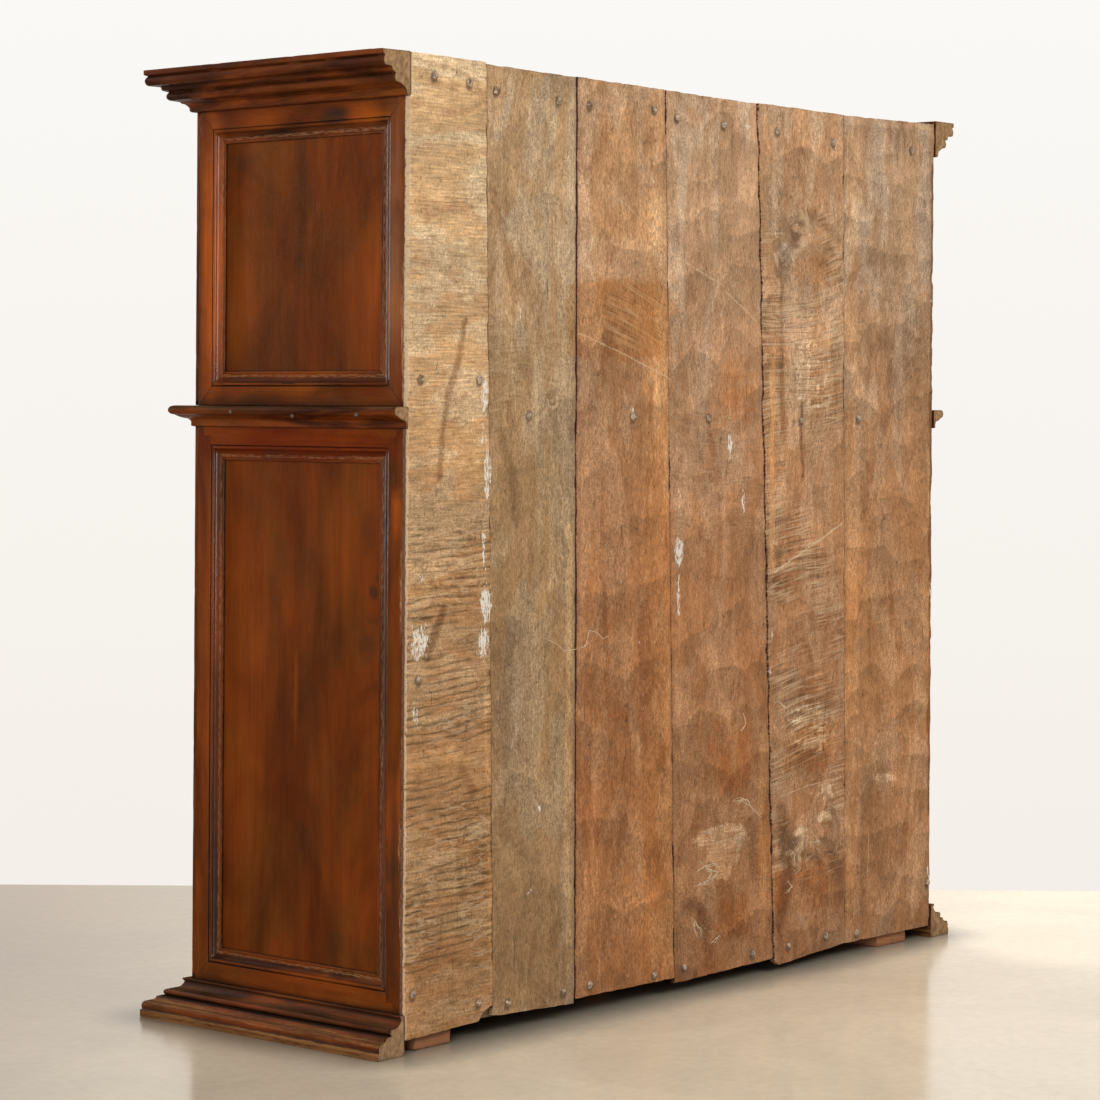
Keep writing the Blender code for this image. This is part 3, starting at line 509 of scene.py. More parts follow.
def noise(across, up, seed):
    """Smooth noise from 0 to 1, one bump per unit."""
    column = np.floor(across).astype(np.int64)
    row = np.floor(up).astype(np.int64)
    u, v = across - column, up - row
    u, v = u * u * (3 - 2 * u), v * v * (3 - 2 * v)
    low = lattice(column, row, seed) * (1 - u) + lattice(column + 1, row, seed) * u
    high = lattice(column, row + 1, seed) * (1 - u) + lattice(column + 1, row + 1, seed) * u
    return low * (1 - v) + high * v


def layered(across, up, seed, layers=4):
    """Noise with finer layers on top, from 0 to 1."""
    total = sum(noise(across * 2 ** k, up * 2 ** k, seed + 31 * k) / 2 ** k for k in range(layers))
    return total / (2 - 2 ** (1 - layers))


def ease(value, low, high):
    """Rises smoothly from 0 at low to 1 at high."""
    share = np.clip((value - low) / (high - low), 0.0, 1.0)
    return share * share * (3 - 2 * share)


def facets(across, up, seed):
    """Adze facets, one per unit square: how deep each point lies in its facet, and the facet's tone there, a
    random tone with painted shade that darkens each facet above its centre and lightens it below.
    """
    column = np.floor(across).astype(np.int64)
    row = np.floor(up).astype(np.int64)
    nearest = np.full(np.shape(across), 9.0)
    tone = np.zeros(np.shape(across))
    for step_x in (-1, 0, 1):
        for step_y in (-1, 0, 1):
            near_x = column + step_x + lattice(column + step_x, row + step_y, seed)
            near_y = row + step_y + lattice(column + step_x, row + step_y, seed + 7)
            away = (near_x - across) ** 2 + (near_y - up) ** 2
            # Painted shade and light: each facet is darker above its centre and lighter below it
            own_tone = 1.5 * (lattice(column + step_x, row + step_y, seed + 13) - 0.5) - 1.1 * (up - near_y)
            tone = np.where(away < nearest, own_tone, tone)
            nearest = np.minimum(nearest, away)
    return 1 - np.clip(nearest, 0.0, 1.0), np.clip(tone, -1.0, 1.0)


def saw_grooves(x, z, seed):
    """Washboard left by the saw on the first board: its painted shade, 0 on the ridges, 1 in the grooves, and
    its depth.
    """
    groove, depth = np.zeros(x.shape), np.zeros(x.shape)
    for low, high, spacing, slope, deepest, tone in SAW_GROOVES:
        wander = 1.6 * spacing * (layered(x * 7, z * 16, seed + 41, 4) - 0.5)
        wave = 0.5 - 0.5 * np.cos(math.tau * (z - slope * x + wander) / spacing)
        broken = ease(layered(x * 12, z * 34, seed + 43, 3), 0.24, 0.56)
        span = ease(z, low, low + 0.05) * (1 - ease(z, high - 0.05, high))
        groove += tone * wave ** 3 * broken * span
        depth += deepest * wave ** 2 * broken * span
    return groove, depth


def line_mask(x, z, points, width):
    """1 on a line through the points, fading to 0 at half the width beside it."""
    best = np.full(np.shape(x), 9.0)
    for (ax, az), (bx, bz) in zip(points, points[1:]):
        dx, dz = bx - ax, bz - az
        share = np.clip(((x - ax) * dx + (z - az) * dz) / (dx * dx + dz * dz), 0.0, 1.0)
        best = np.minimum(best, np.hypot(x - ax - share * dx, z - az - share * dz))
    return 1 - ease(best, 0.15 * width, 0.75 * width)


def patch_mask(x, z, centre_x, centre_z, half_width, half_height, power=2.0):
    """1 in the middle of an oval patch, fading to 0 at its edge; a higher power makes it squarer."""
    across, up = np.abs(x - centre_x) / half_width, np.abs(z - centre_z) / half_height
    reach = (across ** power + up ** power) ** (1 / power)
    return 1 - ease(reach, 0.35, 1.25)


def gathered(masks, shape):
    """The strongest of several masks at each point."""
    total = np.zeros(shape)
    for mask in masks:
        total = np.maximum(total, mask)
    return total


# Node graphs

class Nodes:
    """Adds nodes to a tree from plain calls."""

    def __init__(self, tree):
        self.tree = tree

    def found(self, kind):
        """The node of a kind that the tree starts with."""
        return next(node for node in self.tree.nodes if node.type == kind)

    def feed(self, socket, value):
        if isinstance(value, bpy.types.NodeSocket):
            self.tree.links.new(value, socket)
        else:
            socket.default_value = value

    def add(self, kind, inputs, **settings):
        node = self.tree.nodes.new("ShaderNode" + kind)
        for key, value in settings.items():
            setattr(node, key, value)
        for key, value in inputs.items():
            self.feed(node.inputs[key], value)
        return node

    def math(self, operation, first, second=0.0):
        return self.add("Math", {0: first, 1: second}, operation=operation).outputs[0]

    def times(self, first, second):
        return self.math("MULTIPLY", first, second)

    def plus(self, first, second):
        return self.math("ADD", first, second)

    def minus(self, first, second):
        return self.math("SUBTRACT", first, second)

    def seen_rays(self):
        """1 for the rays that show a background: from the camera, in reflections and through glass."""
        path = self.add("LightPath", {}).outputs
        reflected = self.math("MAXIMUM", path["Is Camera Ray"], path["Is Glossy Ray"])
        return self.math("MAXIMUM", reflected, path["Is Transmission Ray"])


class Graph(Nodes):
    """The nodes of one material."""

    def __init__(self, name):
        self.material = bpy.data.materials.new(name)
        self.material.use_nodes = True
        super().__init__(self.material.node_tree)
        self.shader = self.found("BSDF_PRINCIPLED")

    def place(self):
        return self.add("TexCoord", {}).outputs["Object"]

    def attribute(self, name, output="Fac"):
        return self.add("Attribute", {}, attribute_name=name).outputs[output]

    def vector(self, operation, first, second=(0.0, 0.0, 0.0), output="Vector"):
        return self.add("VectorMath", {0: first, 1: second}, operation=operation).outputs[output]

    def turned(self, vector, angles):
        return self.add("Mapping", {"Vector": vector, "Rotation": angles}).outputs[0]

    def noise(self, vector, factors, detail=3.0, roughness=0.55, distortion=0.0):
        inputs = {"Vector": self.vector("MULTIPLY", vector, factors), "Scale": 1.0, "Detail": detail}
        inputs.update({"Roughness": roughness, "Distortion": distortion})
        return self.add("TexNoise", inputs).outputs[0]

    def ranged(self, value, low, high, to_low=0.0, to_high=1.0):
        inputs = {"Value": value, "From Min": low, "From Max": high, "To Min": to_low, "To Max": to_high}
        return self.add("MapRange", inputs, interpolation_type="SMOOTHSTEP").outputs[0]

    def mixed(self, factor, first, second, blend="MIX"):
        inputs = {0: factor, 6: first, 7: second}
        return self.add("Mix", inputs, data_type="RGBA", blend_type=blend).outputs[2]

    def shaded(self, colour, value, strength=1.0):
        """The colour times a grey value or a tint."""
        return self.mixed(strength, colour, value, "MULTIPLY")

    def toned(self, colour, value, low, high, to_low, to_high):
        """The colour times a value that is brought from one range to another."""
        return self.shaded(colour, self.ranged(value, low, high, to_low, to_high))

    def occlusion(self, distance, inside=False):
        inputs = {"Distance": distance}
        return self.add("AmbientOcclusion", inputs, samples=8, inside=inside).outputs["AO"]

    def away_from_line(self, place, points):
        """Distance in the plane of x and z from a line through points (x, z)."""
        nearest = None
        for (ax, az), (bx, bz) in zip(points, points[1:]):
            run = Vector((bx - ax, 0.0, bz - az))
            offset = self.vector("SUBTRACT", place, (ax, 0.0, az))
            share = self.vector("DOT_PRODUCT", offset, run / run.length_squared, "Value")
            share = self.add("Clamp", {"Value": share}).outputs[0]
            reached = self.add("VectorMath", {0: run, "Scale": share}, operation="SCALE").outputs[0]
            gap = self.vector("DISTANCE", offset, reached, "Value")
            nearest = gap if nearest is None else self.math("MINIMUM", nearest, gap)
        return nearest

    def bump(self, height, distance, strength=1.0):
        normal = self.add("Bump", {"Strength": strength, "Distance": distance, "Height": height}).outputs[0]
        self.feed(self.shader.inputs["Normal"], normal)

    def set(self, **values):
        for key, value in values.items():
            self.feed(self.shader.inputs[key.replace("_", " ")], value)
        return self.material


def solid(colour):
    """A colour as a node socket takes it."""
    return (*colour, 1.0)


PAINT = solid((0.72, 0.69, 0.62))
STAIN = solid((0.50, 0.43, 0.38))
SCRAPED = solid((0.60, 0.44, 0.28))
SCOURED_AND_SHEEN = solid((1.75, 2.20, 2.65))
FRESH = solid((1.32, 1.27, 1.12))
ASH = solid((1.10, 1.20, 1.34))
PLANED = solid((0.940, 0.860, 0.775))
WEATHERED = solid((1.045, 1.085, 1.140))
FLAKED = solid((1.13, 1.16, 1.18))
RUBBED = solid((0.82, 0.77, 0.74))
BROWN = solid((0.86, 0.71, 0.55))
TORN = solid((0.56, 0.45, 0.31))
FLANK = solid((0.110, 0.036, 0.014))
IRON_STAIN = solid((0.105, 0.062, 0.040))
JOINT_DIRT = solid((0.170, 0.085, 0.048))
JOINT_BLACK_AND_SLIT_SHADE = solid((0.058, 0.018, 0.014))
KNOT_DARK = solid((0.110, 0.055, 0.030))


def on_board(low, high, points):
    """Whether a line through points (x, z) touches a board's width."""
    return min(x for x, z in points) < high.x and max(x for x, z in points) > low.x


class BoardGraph(Graph):
    """Rough sawn, weathered board: crisp patches, grit, saw marks, cracks, stains and paint."""

    def __init__(self, name, look, low, high):
        super().__init__(name)
        self.look, self.low, self.high = look, low, high
        self.spot = self.place()
        self.height = self.add("SeparateXYZ", {0: self.spot}).outputs[2]
        self.grit = self.noise(self.spot, (330.0, 330.0, 250.0), 3.0, 0.75)
        self.fibre = self.noise(self.spot, look.fibre, 3.0, 0.65, 0.5)
        self.mottle = self.noise(self.spot, (64.0, 9.0, 48.0), 5.0, 0.72, 0.3)
        self.drift = self.minus(self.mottle, 0.5)
        self.smear = self.minus(self.noise(self.spot, (240.0, 7.0, 90.0), 4.0, 0.7, 0.3), 0.5)
        self.pit = self.noise(self.spot, (150.0, 11.0, 85.0), 2.0, 0.55, 0.4)
        self.marks = self.attribute("marks")
        self.flat = self.wavering_place(0.020)
        self.drawn = self.wavering_place(0.005)
        self.flow = self.flowing_place()
        self.dark_line = self.saw_lines(1.0, 1.0, 0.15, 0.055)

    def tinted(self, share, colour, tint):
        return self.mixed(share, colour, self.shaded(colour, tint))

    def saw_lines(self, slope, spacing, wave, sharp):
        """Thin wandering lines where the saw marked the board, 1 on each line."""
        look = self.look
        turned = self.turned(self.flow, (0.0, math.atan(look.mark_slope * slope), 0.0))
        factors = (0.6 / look.mark_length, 1.0, 0.6 / (look.mark_spacing * spacing))
        away = self.minus(self.noise(turned, factors, 2.0, 0.6, wave), 0.5)
        line = self.ranged(self.math("ABSOLUTE", away), 0.0, sharp, 1.0, 0.0)
        return self.times(line, self.marks)

    def wavering_place(self, reach):
        """Place in the plane of the board, pushed about a little."""
        push = self.add("TexNoise", {"Vector": self.spot, "Scale": 48.0, "Detail": 3.0}).outputs["Color"]
        push = self.vector("SUBTRACT", push, (0.5, 0.5, 0.5))
        push = self.vector("MULTIPLY", push, (reach, 0.0, reach))
        flat = self.vector("MULTIPLY", self.spot, (1.0, 0.0, 1.0))
        return self.vector("ADD", flat, push)

    def knots(self):
        """Radius of each knot on the board, and how far each point is from it."""
        for knot_x, knot_z, radius in KNOTS:
            if on_board(self.low, self.high, ((knot_x, knot_z),)):
                yield radius, self.vector("DISTANCE", self.flat, (knot_x, 0.0, knot_z), "Value")

    def flowing_place(self):
        """Place whose height bends in slow waves and runs round the knots, for the saw marks to follow."""
        parts = self.add("SeparateXYZ", {0: self.spot}).outputs
        wave = self.minus(self.noise(self.spot, (3.5, 1.0, 3.5), 1.0, 0.4), 0.5)
        height = self.plus(parts[2], self.times(wave, 2.0 * self.look.bend))
        for radius, away in self.knots():
            share = self.ranged(away, 1.0 * radius, 3.6 * radius, 0.9, 0.0)
            height = self.plus(height, self.times(self.minus(away, height), share))
        return self.add("CombineXYZ", {0: parts[0], 1: parts[1], 2: height}).outputs[0]

    def patches(self, wide, deep, tall, distortion):
        """Ragged patches drawn out along the board, or across it where the saw marks run that way."""
        factors = (tall, deep, wide) if self.look.across else (wide, deep, tall)
        return self.noise(self.spot, factors, 6.0, 0.62, distortion)

    def ground(self):
        """Tone by height, broken into smooth planed patches and granular pale ones."""
        look = self.look
        colour = self.mixed(self.ranged(self.height, 0.05, 0.75), solid(look.foot), solid(look.middle))
        colour = self.mixed(self.ranged(self.height, 0.70, 1.50), colour, solid(look.top))
        cloud = self.patches(11.0, 1.0, 4.0, 0.5)
        colour = self.toned(colour, cloud, 0.30, 0.70, 0.82, 1.18)
        skin = self.ranged(self.patches(10.0, 3.0, 3.4, 0.9), 0.470, 0.545)
        planed = self.shaded(colour, PLANED)
        colour = self.mixed(skin, planed, self.shaded(colour, WEATHERED))
        flake = self.patches(21.0, 5.0, 8.0, 1.0)
        colour = self.tinted(self.ranged(flake, 0.550, 0.600), colour, FLAKED)
        rubbed = self.patches(16.0, 9.0, 7.0, 0.8)
        colour = self.tinted(self.ranged(rubbed, 0.555, 0.620), colour, RUBBED)
        strand = self.patches(85.0, 20.0, 4.0, 0.5)
        colour = self.toned(colour, strand, 0.28, 0.72, 0.94, 1.06)
        # Facet tone: random per facet, with painted shade darker towards each facet's top
        facet = self.ranged(self.attribute("facet"), -1.0, 1.0, 0.84, 1.15)
        colour = self.shaded(colour, facet)
        rough = self.ranged(skin, 0.0, 1.0, 0.65, 1.0)
        colour = self.shaded(colour, self.ranged(self.grit, 0.27, 0.73, 0.62, 1.36), rough)
        colour = self.toned(colour, self.mottle, 0.30, 0.70, 0.86, 1.13)
        colour = self.toned(colour, self.fibre, 0.25, 0.75, 0.73, 1.24)
        # Painted shade in the saw grooves and painted light on their ridges
        return self.toned(colour, self.attribute("groove"), 0.10, 1.0, 1.10, 0.56)

    def lined(self, colour):
        """Saw marks, cracks, pits and pale flecks."""
        spot = self.spot
        colour = self.toned(colour, self.dark_line, 0.0, 1.0, 1.0, 0.68)
        pale_line = self.saw_lines(1.15, 1.5, 0.2, 0.05)
        colour = self.mixed(self.times(pale_line, 0.50), colour, SCRAPED)
        crack = self.noise(spot, (170.0, 1.0, 9.0), 3.0, 0.6, 0.4)
        colour = self.toned(colour, crack, 0.68, 0.75, 1.0, 0.45)
        colour = self.toned(colour, self.pit, 0.66, 0.75, 1.0, 0.55)
        fleck = self.noise(spot, (210.0, 17.0, 95.0), 3.0, 0.6, 1.2)
        return self.mixed(self.ranged(fleck, 0.66, 0.75, 0.0, 0.5), colour, SCRAPED)

    def painted(self, attribute, under, over, span, strength, breaker, break_up=1.0):
        """Lays one colour over another where a stored mask says, with edges broken by noise."""
        value = self.plus(self.attribute(attribute), self.times(breaker, break_up))
        share = self.times(self.ranged(value, *span), strength)
        return self.mixed(share, under, over)

    def stained(self, colour):
        """Fresh streaks, scraped patches partly painted as a sheen, grey patches, dirt by the joints and rust
        round the nails.
        """
        smear, drift = self.smear, self.drift
        fresh = self.shaded(colour, FRESH)
        colour = self.painted("warm", colour, fresh, (0.15, 0.75), 0.95, smear)
        brown = self.shaded(colour, BROWN)
        colour = self.painted("brown", colour, brown, (0.34, 0.46), 0.85, drift)
        ash = self.shaded(colour, ASH)
        colour = self.painted("ash", colour, ash, (0.30, 0.62), 0.85, drift, 1.6)
        # Scraped patches: paler wood with swirling fibres, partly a painted sheen
        swirl = self.noise(self.spot, (16.0, 7.0, 150.0), 3.0, 0.6, 1.6)
        swirled = self.shaded(self.shaded(colour, SCOURED_AND_SHEEN), self.ranged(swirl, 0.34, 0.66, 0.68, 1.12))
        colour = self.painted("pale", colour, swirled, (0.30, 0.62), 0.90, drift, 1.4)
        stain = self.shaded(colour, STAIN)
        colour = self.painted("dark", colour, stain, (0.0, 1.0), 0.95, drift, 1.2)
        colour = self.painted("dirt", colour, JOINT_DIRT, (0.15, 0.95), 0.7, drift, 1.4)
        return self.painted("rust", colour, IRON_STAIN, (0.2, 0.9), 0.8, smear)

    def knotted(self, colour):
        """Dark hearts and pale crescents of the knots, and thin pale scratches."""
        arcs = self.ranged(self.noise(self.spot, (38.0, 1.0, 38.0), 3.0, 0.6, 0.6), 0.42, 0.58)
        crescent = self.ranged(self.noise(self.spot, (26.0, 9.0, 26.0), 3.0, 0.6, 0.6), 0.50, 0.58)
        for radius, away in self.knots():
            heart = self.times(self.ranged(away, 0.5 * radius, 2.0 * radius, 0.75, 0.0), arcs)
            colour = self.mixed(heart, colour, KNOT_DARK)
            rim = self.math("ABSOLUTE", self.minus(away, 1.9 * radius))
            rim = self.times(self.ranged(rim, 0.15 * radius, 0.75 * radius, 0.75, 0.0), crescent)
            rim = self.times(rim, self.ranged(self.fibre, 0.30, 0.62, 0.4, 1.0))
            colour = self.mixed(rim, colour, SCRAPED)
        for points, width, strength in PALE_SCRATCHES:
            if on_board(self.low, self.high, points):
                away = self.away_from_line(self.drawn, points)
                share = self.ranged(away, 0.1 * width, 0.45 * width, strength, 0.0)
                share = self.times(share, self.ranged(self.grit, 0.35, 0.60, 0.1, 1.0))
                colour = self.mixed(share, colour, SCRAPED)
        return colour

    def tangled(self, colour):
        """Curls of torn pale fibre."""
        curl = self.noise(self.spot, (95.0, 7.0, 95.0), 2.0, 0.5, 2.2)
        curl = self.math("ABSOLUTE", self.minus(curl, 0.5))
        curl = self.times(self.ranged(curl, 0.004, 0.022, 1.0, 0.0), self.attribute("tangle"))
        return self.mixed(self.times(curl, self.ranged(self.grit, 0.35, 0.6)), colour, TORN)

    def edged(self, colour):
        """Rubbed arris, dark outer flank, painted shade in the slit beside the mouldings, black joints and old
        white paint.
        """
        colour = self.painted("arris", colour, SCRAPED, (0.60, 0.95), 0.7, self.smear, 2.4)
        flank = self.toned(FLANK, self.smear, -0.2, 0.2, 0.6, 1.5)
        colour = self.painted("flank", colour, flank, (0.30, 0.50), 0.92, self.smear, 0.8)
        # Painted shade: the first board's flank is black in the slit beside the cornice and base moulding
        colour = self.mixed(self.ranged(self.attribute("slit"), 0.10, 0.35), colour, JOINT_BLACK_AND_SLIT_SHADE)
        broken = self.minus(self.noise(self.spot, (90.0, 1.0, 240.0), 3.0, 0.7), 0.5)
        colour = self.painted("seam", colour, JOINT_BLACK_AND_SLIT_SHADE, (0.32, 0.50), 0.95, broken)
        return self.painted("white", colour, PAINT, (0.52, 0.64), 0.85, self.smear, 2.6)

    def finish(self):
        colour = self.tangled(self.knotted(self.stained(self.lined(self.ground()))))
        colour = self.edged(colour)
        relief = self.plus(self.times(self.fibre, 0.35), self.times(self.grit, 0.60))
        relief = self.plus(relief, self.times(self.mottle, 0.8))
        relief = self.minus(relief, self.times(self.dark_line, 0.4))
        relief = self.minus(relief, self.ranged(self.pit, 0.62, 0.73, 0.0, 0.7))
        self.bump(relief, 0.0014)
        self.shader.inputs["Specular IOR Level"].default_value = 0.2
        return self.set(Base_Color=colour, Roughness=self.ranged(self.fibre, 0.2, 0.8, 0.95, 0.78))


@dataclass
class StainLook:
    """Colours and gloss of one kind of stained and varnished walnut."""

    deep: tuple
    bright: tuple
    worn: tuple
    figure: tuple
    roughness: float
    specular: float
    relief: float


STAIN_LOOKS = {
    "stained_frames": StainLook(
        (0.076, 0.0146, 0.0020), (0.190, 0.0415, 0.0055), (0.40, 0.23, 0.120),
        (2.6, 13.0), 0.36, 0.040, 0.0005,
    ),
    "varnished_ridges": StainLook(
        (0.018, 0.0034, 0.0005), (0.074, 0.0145, 0.0018), (0.36, 0.22, 0.130),
        (3.0, 30.0), 0.16, 0.24, 0.0002,
    ),
    "stained_panels": StainLook(
        (0.104, 0.0222, 0.0031), (0.152, 0.0325, 0.0046), (0.36, 0.19, 0.095),
        (2.4, 12.0), 0.40, 0.035, 0.0005,
    ),
    "worked_rails": StainLook(
        (0.024, 0.0054, 0.0013), (0.120, 0.0255, 0.0040), (0.34, 0.20, 0.110),
        (3.0, 34.0), 0.40, 0.050, 0.0003,
    ),
    "dusty_tops": StainLook(
        (0.060, 0.0220, 0.0090), (0.150, 0.0600, 0.0260), (0.245, 0.120, 0.042),
        (4.0, 26.0), 0.70, 0.0, 0.0003,
    ),
    "stained_mouldings": StainLook(
        (0.036, 0.0080, 0.0022), (0.200, 0.0440, 0.0070), (0.245, 0.106, 0.034),
        (4.0, 26.0), 0.30, 0.070, 0.0003,
    ),
}
# Share of the painted shade in corners and hollows; the same colour darkens the mitre lines as grime
CORNER_SHADE_SHARE = 0.88
RAW_END = (0.310, 0.185, 0.095)
OLIVE = (0.78, 1.02, 1.10)
# The pale tint on the rear stile of the upper end is a painted sheen, a painted highlight
END_TINTS = {"warm": (0.400, 0.085, 0.0075), "painted_sheen": (0.270, 0.115, 0.052), "red": (0.120, 0.0130, 0.0005)}
BLACK_VARNISH_AND_GROOVE_SHADE = (0.030, 0.014, 0.008)
CORNER_SHADE_AND_MITRE_GRIME = (0.014, 0.007, 0.004)


def stained_material(name):
    """Old varnished walnut: figure along the grain, pores, painted shade in the corners, grime on the mitre
    lines and wear on the edges.
    """
    graph, look = Graph(name), STAIN_LOOKS[name]
    grain = graph.attribute("grain", "Vector")
    along_grain, across_grain = look.figure
    figure = graph.noise(grain, (along_grain, across_grain, across_grain), 4.0, 0.55, 1.1)
    colour = graph.mixed(graph.ranged(figure, 0.30, 0.70), solid(look.deep), solid(look.bright))
    blotch = graph.noise(grain, (5.0, 9.0, 9.0), 4.0, 0.55, 0.4)
    olive = graph.shaded(colour, solid(OLIVE))
    colour = graph.mixed(graph.ranged(blotch, 0.44, 0.62, 0.0, 0.8), colour, olive)
    cloud = graph.noise(grain, (3.4, 8.0, 8.0), 5.0, 0.62, 0.7)
    colour = graph.toned(colour, cloud, 0.30, 0.70, 0.70, 1.26)
    streak = graph.noise(grain, (5.0, 130.0, 130.0), 4.0, 0.6, 0.3)
    colour = graph.toned(colour, streak, 0.25, 0.75, 0.91, 1.08)
    pore = graph.noise(grain, (45.0, 700.0, 700.0), 2.0, 0.5)
    colour = graph.toned(colour, pore, 0.58, 0.72, 1.0, 0.78)
    fleck = graph.noise(grain, (70.0, 420.0, 420.0), 4.0, 0.65)
    for tint, tint_colour in END_TINTS.items():
        share = graph.times(graph.attribute(tint), graph.ranged(blotch, 0.32, 0.68, 0.45, 1.0))
        toned = graph.toned(solid(tint_colour), streak, 0.2, 0.8, 0.75, 1.2)
        colour = graph.mixed(share, colour, toned)
    # Black patches, and painted shade in the grooves of the base moulding
    dark = graph.plus(graph.attribute("dark"), graph.minus(blotch, 0.5))
    dark = graph.times(graph.ranged(dark, 0.15, 0.95), 0.85)
    dark = graph.times(dark, graph.ranged(streak, 0.30, 0.70, 0.55, 1.25))
    colour = graph.mixed(dark, colour, solid(BLACK_VARNISH_AND_GROOVE_SHADE))
    # Painted shade: darker where ambient occlusion finds a corner or hollow
    corner = graph.ranged(graph.occlusion(0.036), 0.30, 0.92, 1.0, 0.0)
    corner = graph.times(corner, graph.ranged(blotch, 0.30, 0.70, 0.65, 1.1))
    colour = graph.mixed(graph.times(corner, CORNER_SHADE_SHARE), colour, solid(CORNER_SHADE_AND_MITRE_GRIME))
    mitre = graph.math("ABSOLUTE", graph.attribute("mitre"))
    seam = graph.times(graph.attribute("mitred"), graph.ranged(mitre, 0.0002, 0.0011, 0.8, 0.0))
    colour = graph.mixed(seam, colour, solid(CORNER_SHADE_AND_MITRE_GRIME))
    edge = graph.ranged(graph.occlusion(0.0030, True), 0.30, 0.75, 1.0, 0.0)
    edge = graph.times(edge, graph.ranged(fleck, 0.42, 0.62))
    rubbed = graph.plus(graph.minus(fleck, 0.5), graph.minus(streak, 0.5))
    worn = graph.ranged(graph.plus(graph.attribute("worn"), rubbed), 0.30, 0.80)
    worn_colour = graph.toned(solid(look.worn), streak, 0.25, 0.75, 0.55, 1.2)
    colour = graph.mixed(graph.times(edge, 0.48), colour, worn_colour)
    colour = graph.mixed(worn, colour, worn_colour)
    rings = graph.noise(grain, (20.0, 60.0, 110.0), 5.0, 0.7, 0.8)
    end_colour = graph.toned(solid(RAW_END), rings, 0.3, 0.7, 0.50, 1.25)
    lapped = graph.ranged(graph.occlusion(0.0070, True), 0.30, 0.85, 1.0, 0.0)
    lapped = graph.times(lapped, graph.ranged(rings, 0.40, 0.60, 0.3, 1.0))
    end_colour = graph.mixed(graph.times(lapped, 0.75), end_colour, solid(look.deep))
    end = graph.attribute("endgrain")
    colour = graph.mixed(end, colour, end_colour)
    bare = graph.math("MAXIMUM", end, worn)
    gloss = graph.ranged(fleck, 0.3, 0.7, look.roughness - 0.08, look.roughness + 0.14)
    roughness = graph.plus(gloss, graph.times(bare, 0.45))
    relief = graph.times(streak, 0.35)
    relief = graph.minus(relief, graph.ranged(pore, 0.58, 0.72, 0.0, 0.30))
    relief = graph.plus(relief, graph.times(fleck, 0.55))
    graph.bump(relief, look.relief)
    graph.shader.inputs["Specular IOR Level"].default_value = look.specular
    return graph.set(Base_Color=colour, Roughness=roughness)


# Unvarnished woods: deep and bright tones of the grain, and the tone of its ends
PLAIN_END = (0.26, 0.16, 0.09)
PLAIN_LOOKS = {
    "inside_back": ((0.165, 0.085, 0.040), (0.370, 0.215, 0.115), PLAIN_END),
    "inside_wood": ((0.115, 0.060, 0.030), (0.300, 0.175, 0.095), PLAIN_END),
    "foot_block_wood": ((0.300, 0.105, 0.042), (0.560, 0.235, 0.100), (0.47, 0.21, 0.10)),
}
# Colour of the painted shade in the hollows of unvarnished wood
HOLLOW_SHADE = (0.030, 0.018, 0.010)


def plain_material(name):
    """Unvarnished old softwood of the inside boards and blocks."""
    graph = Graph(name)
    deep, bright, worn = PLAIN_LOOKS[name]
    grain = graph.attribute("grain", "Vector")
    figure = graph.noise(grain, (2.2, 34.0, 34.0), 4.0, 0.6, 0.7)
    colour = graph.mixed(graph.ranged(figure, 0.28, 0.72), solid(deep), solid(bright))
    blotch = graph.noise(grain, (6.0, 7.0, 7.0), 4.0, 0.6)
    colour = graph.toned(colour, blotch, 0.3, 0.7, 0.70, 1.15)
    fibre = graph.noise(grain, (9.0, 420.0, 420.0), 4.0, 0.6)
    colour = graph.toned(colour, fibre, 0.25, 0.75, 0.75, 1.18)
    # Painted shade: darker where ambient occlusion finds a hollow or corner
    hollow = graph.ranged(graph.occlusion(0.020), 0.30, 0.95, 0.55, 0.0)
    colour = graph.mixed(hollow, colour, solid(HOLLOW_SHADE))
    end = graph.times(graph.attribute("endgrain"), 0.7)
    end_colour = graph.toned(solid(worn), fibre, 0.3, 0.7, 0.6, 1.15)
    colour = graph.mixed(end, colour, end_colour)
    graph.bump(fibre, 0.0006, 0.7)
    return graph.set(Base_Color=colour, Roughness=graph.ranged(blotch, 0.3, 0.7, 0.62, 0.85))


# Irons: two tones, and how metallic they look
IRON_LOOKS = {
    "old_iron": ((0.180, 0.138, 0.105), (0.190, 0.105, 0.062), 0.35),
    "nail_iron": ((0.370, 0.275, 0.190), (0.110, 0.062, 0.036), 0.05),
    "dull_iron": ((0.063, 0.048, 0.037), (0.066, 0.037, 0.022), 0.35),
}


def iron_material(name):
    """Dark hand-forged iron with rust bloom and rubbed high spots."""
    graph = Graph(name)
    bare, rusty, metallic = IRON_LOOKS[name]
    place = graph.place()
    hammered = graph.noise(place, (260.0, 260.0, 260.0), 2.0, 0.5)
    bloom = graph.noise(place, (90.0, 90.0, 90.0), 5.0, 0.65)
    colour = graph.mixed(graph.ranged(bloom, 0.42, 0.62), solid(bare), solid(rusty))
    colour = graph.toned(colour, hammered, 0.3, 0.7, 0.6, 1.4)
    graph.bump(hammered, 0.0006, 0.8)
    graph.shader.inputs["Metallic"].default_value = metallic
    return graph.set(Base_Color=colour, Roughness=graph.ranged(bloom, 0.4, 0.7, 0.32, 0.70))


# Pieces

def piece_from(mesh, name, material, node=None, body=None, slot=None):
    """Links a mesh as a piece that rides on a body, in place of a CAD node where one is named."""
    obj = bpy.data.objects.new(name, mesh)
    bpy.context.scene.collection.objects.link(obj)
    mesh.materials.clear()
    mesh.materials.append(material)
    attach(obj, body or BODY_OF[node])
    slot or SLOT_OF[node]
    if node:
        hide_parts(node)
    return obj


